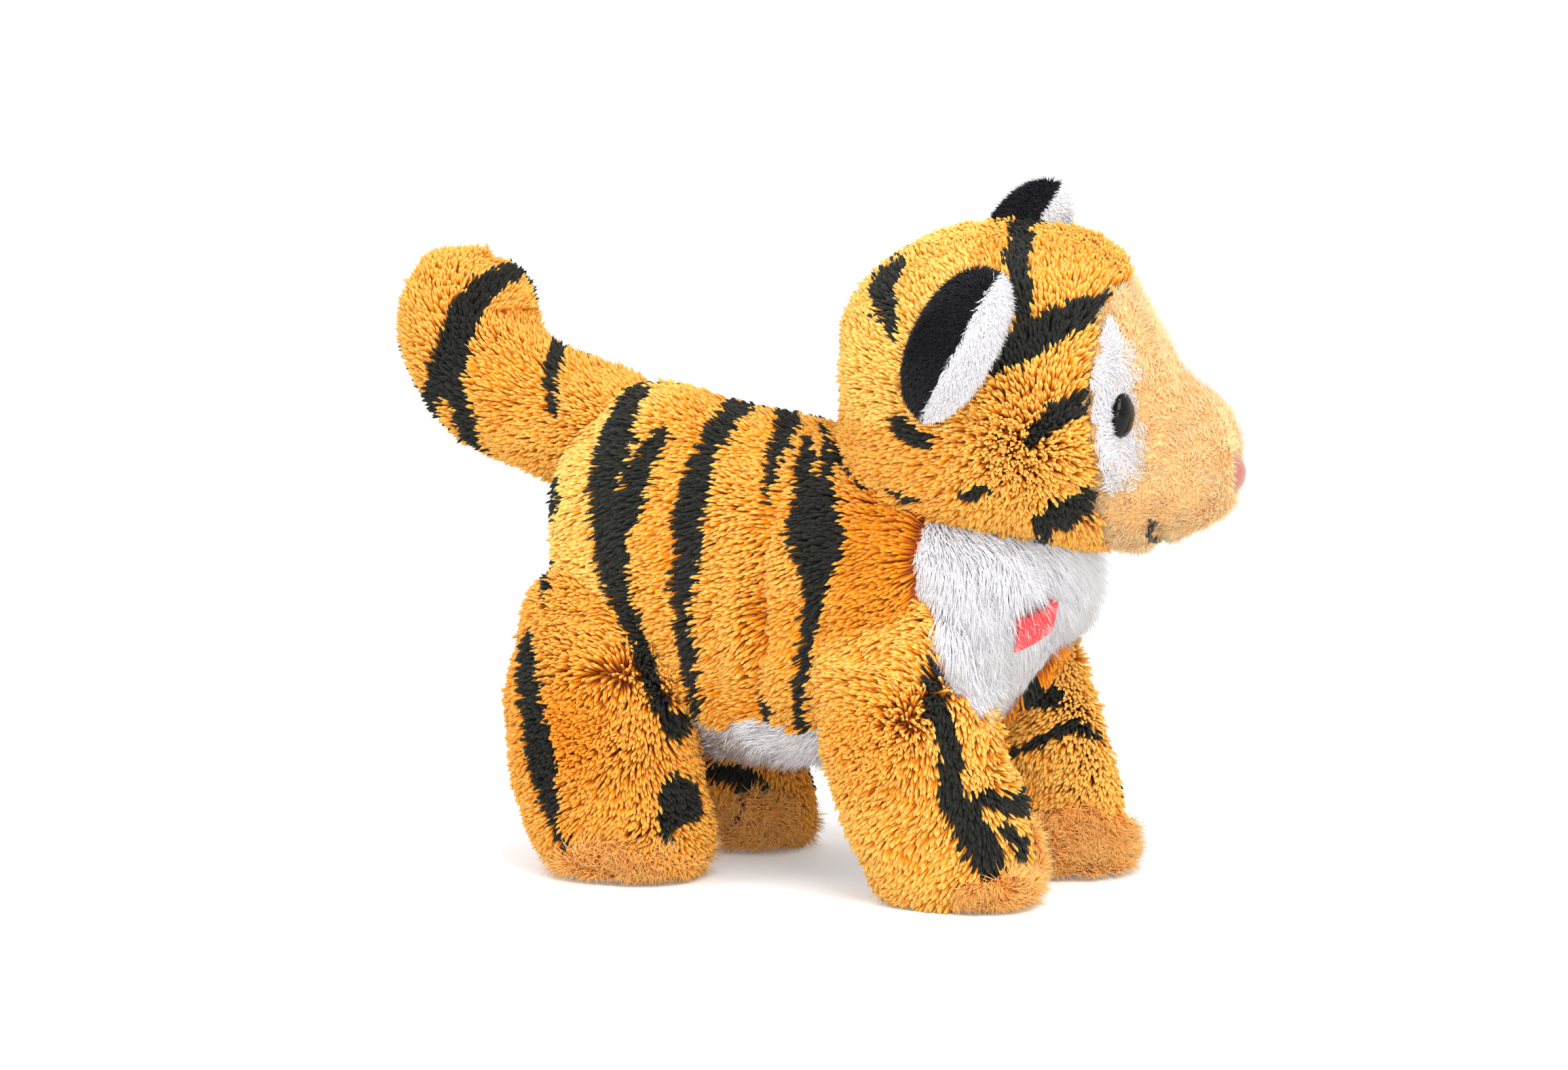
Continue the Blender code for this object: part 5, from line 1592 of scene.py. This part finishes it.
# %% [markdown]
# Eyes and mouth sit on the cloth of the sculpted face, so each one looks up the nearest places on
# that cloth first, and the nose caps the muzzle's end. The eye is a turned dome of dark plastic
# with a black pupil and a crescent of brown on its inner half. The nose is a puffed triangle of
# satin, and the mouth one stitched thread.
# %% Eyes, nose and mouth
EYE_DOME = 3.2 * MM
EYE_SINK = 1.1 * MM
EYE_FOOT = (EYE_RADIUS * 0.94, -1.0 * MM)
PUPIL_SHARE = 0.80
NOSE_PUFF = 2.3 * MM
THREAD_RADIUS = 0.95 * MM
THREAD_LIFT = 0.6 * MM
NEAR_CORNERS = 6
CORNER_BLUR = 0.3 * MM

face_along, face_around = np.meshgrid(np.linspace(0.5, 0.999, 260), np.linspace(0, 1, 241)[:-1],
                                      indexing="ij")
FACE_CLOTH = cloth(head)(face_along, face_around).reshape(-1, 3)
FACE_NORMALS = outward(head, face_along.ravel(), face_around.ravel())
FACE_LOCAL = to_head(FACE_CLOTH)


def on_cloth(local, lift):
    """Nearest places on the face's cloth, lifted off it: the mean of some corners, near ones first."""
    away = ((FACE_LOCAL[None] - np.asarray(local)[:, None]) ** 2).sum(axis=2)
    near = np.argpartition(away, NEAR_CORNERS, axis=1)[:, :NEAR_CORNERS]
    weight = 1 / (np.take_along_axis(away, near, axis=1) + CORNER_BLUR ** 2)
    weight = (weight / weight.sum(axis=1, keepdims=True))[..., None]
    return (weight * FACE_CLOTH[near]).sum(axis=1) + lift * unit((weight * FACE_NORMALS[near]).sum(axis=1))


def turned_piece(name, profile, middle, axis, facets, material):
    """A turned solid: rings of the profile (radius, height) round an axis, closed at both ends."""
    side = unit(np.cross(axis, [0.0, 0.0, 1.0]))
    profile = np.array(profile)
    outwards = profile[:, None, :1] * spokes(side, np.cross(axis, side), facets)
    rings = middle + outwards + profile[:, None, 1:] * axis
    return closed_piece(name, rings, rings[[0, -1]].mean(axis=1), material)


pupil_black = plain_material("pupil_black", (0.002, 0.002, 0.002), 0.08, specular=0.2)
iris_brown = plain_material("iris_brown", (0.060, 0.016, 0.006), 0.10, specular=0.3)
satin = plain_material("nose_satin", (0.38, 0.115, 0.075), 0.38, sheen=0.3)

for side_name, side in SIDES.items():
    axis = HEAD_TURN @ np.array([math.cos(EYE_TURN), side * math.sin(EYE_TURN), 0.0])
    middle = on_cloth([EYE_PLACE * [1, side, 1]], 0.0)[0] - axis * EYE_SINK
    steps = np.linspace(0, math.pi / 2, 22)[:-1]
    dome = [EYE_FOOT] + [(EYE_RADIUS * math.cos(a), EYE_DOME * math.sin(a)) for a in steps]
    eye = turned_piece(f"eye_{side_name}", dome, middle, axis, 48, pupil_black)
    eye.data.materials.append(iris_brown)
    aside = read_vectors(eye.data.polygons, "center") - middle
    aside = aside - (aside @ axis)[:, None] * axis
    inner = aside @ (HEAD_TURN @ np.array([0.0, -side, 0.0])) > 0
    brown = inner & (np.linalg.norm(aside, axis=1) > EYE_RADIUS * PUPIL_SHARE)
    eye.data.polygons.foreach_set("material_index", brown.astype(np.int32))
    dressed(eye, "eye_plastic", "head", f"safety_eye_{side_name}")

# The nose is a rounded triangle of rings, wrapped round the muzzle's end like a shallow cap
NOSE_RINGS = 14
NOSE_FACETS = 48
NOSE_SLOPE = -0.15
NOSE_TAPER = 0.3
NOSE_SKIRT = -2.5 * MM
NOSE_WRAP = 11.0 * MM
turn = 2 * math.pi * np.arange(NOSE_FACETS) / NOSE_FACETS
edge = np.stack([NOSE_HALF_WIDTH * np.cos(turn) * (1 + NOSE_TAPER * np.sin(turn)),
                 NOSE_HALF_HEIGHT * np.sin(turn)], axis=-1)
reach = np.linspace(1, 0, NOSE_RINGS + 1)[:-1]
flat = (edge[None] * np.append(1.0, reach)[:, None, None]).reshape(-1, 2)
flat = np.vstack([flat, [[0.0, 0.0]]])
lift = np.append(NOSE_SKIRT, NOSE_PUFF * (1 - reach ** 2.5))
lift = np.append(np.repeat(lift, NOSE_FACETS), NOSE_PUFF) - (flat ** 2).sum(axis=1) / (2 * NOSE_WRAP)
nose_way = unit(np.array([1.0, 0.0, NOSE_SLOPE]))
nose_side = np.array([0.0, 1.0, 0.0])
places = np.column_stack([flat, lift]) @ np.stack([nose_side, np.cross(nose_way, nose_side), nose_way])
index = np.arange(len(flat) - 1).reshape(-1, NOSE_FACETS)
faces = ring_quads(index) + fan(index[-1], len(flat) - 1) + [index[0][::-1].tolist()]
nose = mesh_piece("nose_pad", from_head(NOSE_PLACE + places), faces, satin)
dressed(nose, "nose_satin", "head", "nose")

mouth_path = curve_at(np.vstack([MOUTH_LINE * [1, -1, 1], MOUTH_LINE[::-1][1:]]), np.linspace(0, 1, 90))
mouth_path = smoothed(on_cloth(mouth_path, THREAD_LIFT), 12)
mouth = tube_piece("mouth_thread", mouth_path, THREAD_RADIUS, 8, thread)
dressed(mouth, "black_thread", "head", "mouth_stitch")

# %% [markdown]
# A folded red tape is sewn into the bib's seam. It is bare here. The small parts that stay out of
# sight, the washers behind the eyes and the neck's filling, get finishes of their own as well.
# %% Tape and hidden parts
TAPE_CORNERS = [(1468, 942), (1510, 915), (1475, 902), (1517, 875)]
TAPE_STEPS = 16
TAPE_LIFT = 9.0 * MM
TAPE_GAP = 0.9 * MM

places, ways = seen_places(trunk, TAPE_CORNERS, 0.6)
corners = places + ways * TAPE_LIFT
tape_middle = corners.mean(axis=0)
out = unit(ways.mean(axis=0))
across = (corners[1] - corners[0] + corners[3] - corners[2]) / 2
up = (corners[2] - corners[0] + corners[3] - corners[1]) / 2
wide, high = np.meshgrid(np.linspace(-0.5, 0.5, TAPE_STEPS), np.linspace(0, 1, TAPE_STEPS), indexing="ij")
fold = np.pi * high
sheet = (tape_middle + wide[..., None] * across + (0.5 - np.sin(fold))[..., None] * up
         + (TAPE_GAP * np.cos(fold) - TAPE_GAP * (2 * wide) ** 2)[..., None] * out)
index = np.arange(TAPE_STEPS ** 2).reshape(TAPE_STEPS, TAPE_STEPS)
quads = np.stack([index[:-1, :-1], index[1:, :-1], index[1:, 1:], index[:-1, 1:]], -1).reshape(-1, 4)
tape_red = plain_material("tape_red", (0.80, 0.02, 0.025), 0.6)
tape = mesh_piece("tape", sheet.reshape(-1, 3), quads.tolist(), tape_red)
dressed(tape, "red_tape", "trunk", "fabric_tab")

clear_plastic = plain_material("clear_plastic", (0.75, 0.76, 0.78), 0.35)
filling = plain_material("filling", (0.8, 0.8, 0.8), 0.5)
tree = filling.node_tree
clumps = tree.nodes.new("ShaderNodeTexNoise")
clumps.inputs["Scale"].default_value = 300.0
feed(tree, tree.nodes["Principled BSDF"].inputs["Base Color"],
     mixed(tree, clumps.outputs[0], (0.75, 0.75, 0.73, 1.0), (0.92, 0.92, 0.90, 1.0)))
for name, material, cloth_name in (("eye_washer_right", clear_plastic, "clear_plastic"),
                                   ("eye_washer_left", clear_plastic, "clear_plastic"),
                                   ("neck_stuffing", filling, "stuffing")):
    node = frame["nodes"][name]
    node.data.materials.clear()
    node.data.materials.append(material)

# %% [markdown]
# The last cell lists the frame's solids that are still shown and counts the triangles of every shown piece.
# %% Shown solids and triangles
for name, node in frame["nodes"].items():
    if not node.hide_render:
        print("shown CAD node", name)
count = sum(len(face.vertices) - 2 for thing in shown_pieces() for face in thing.data.polygons)
print("triangles", count)
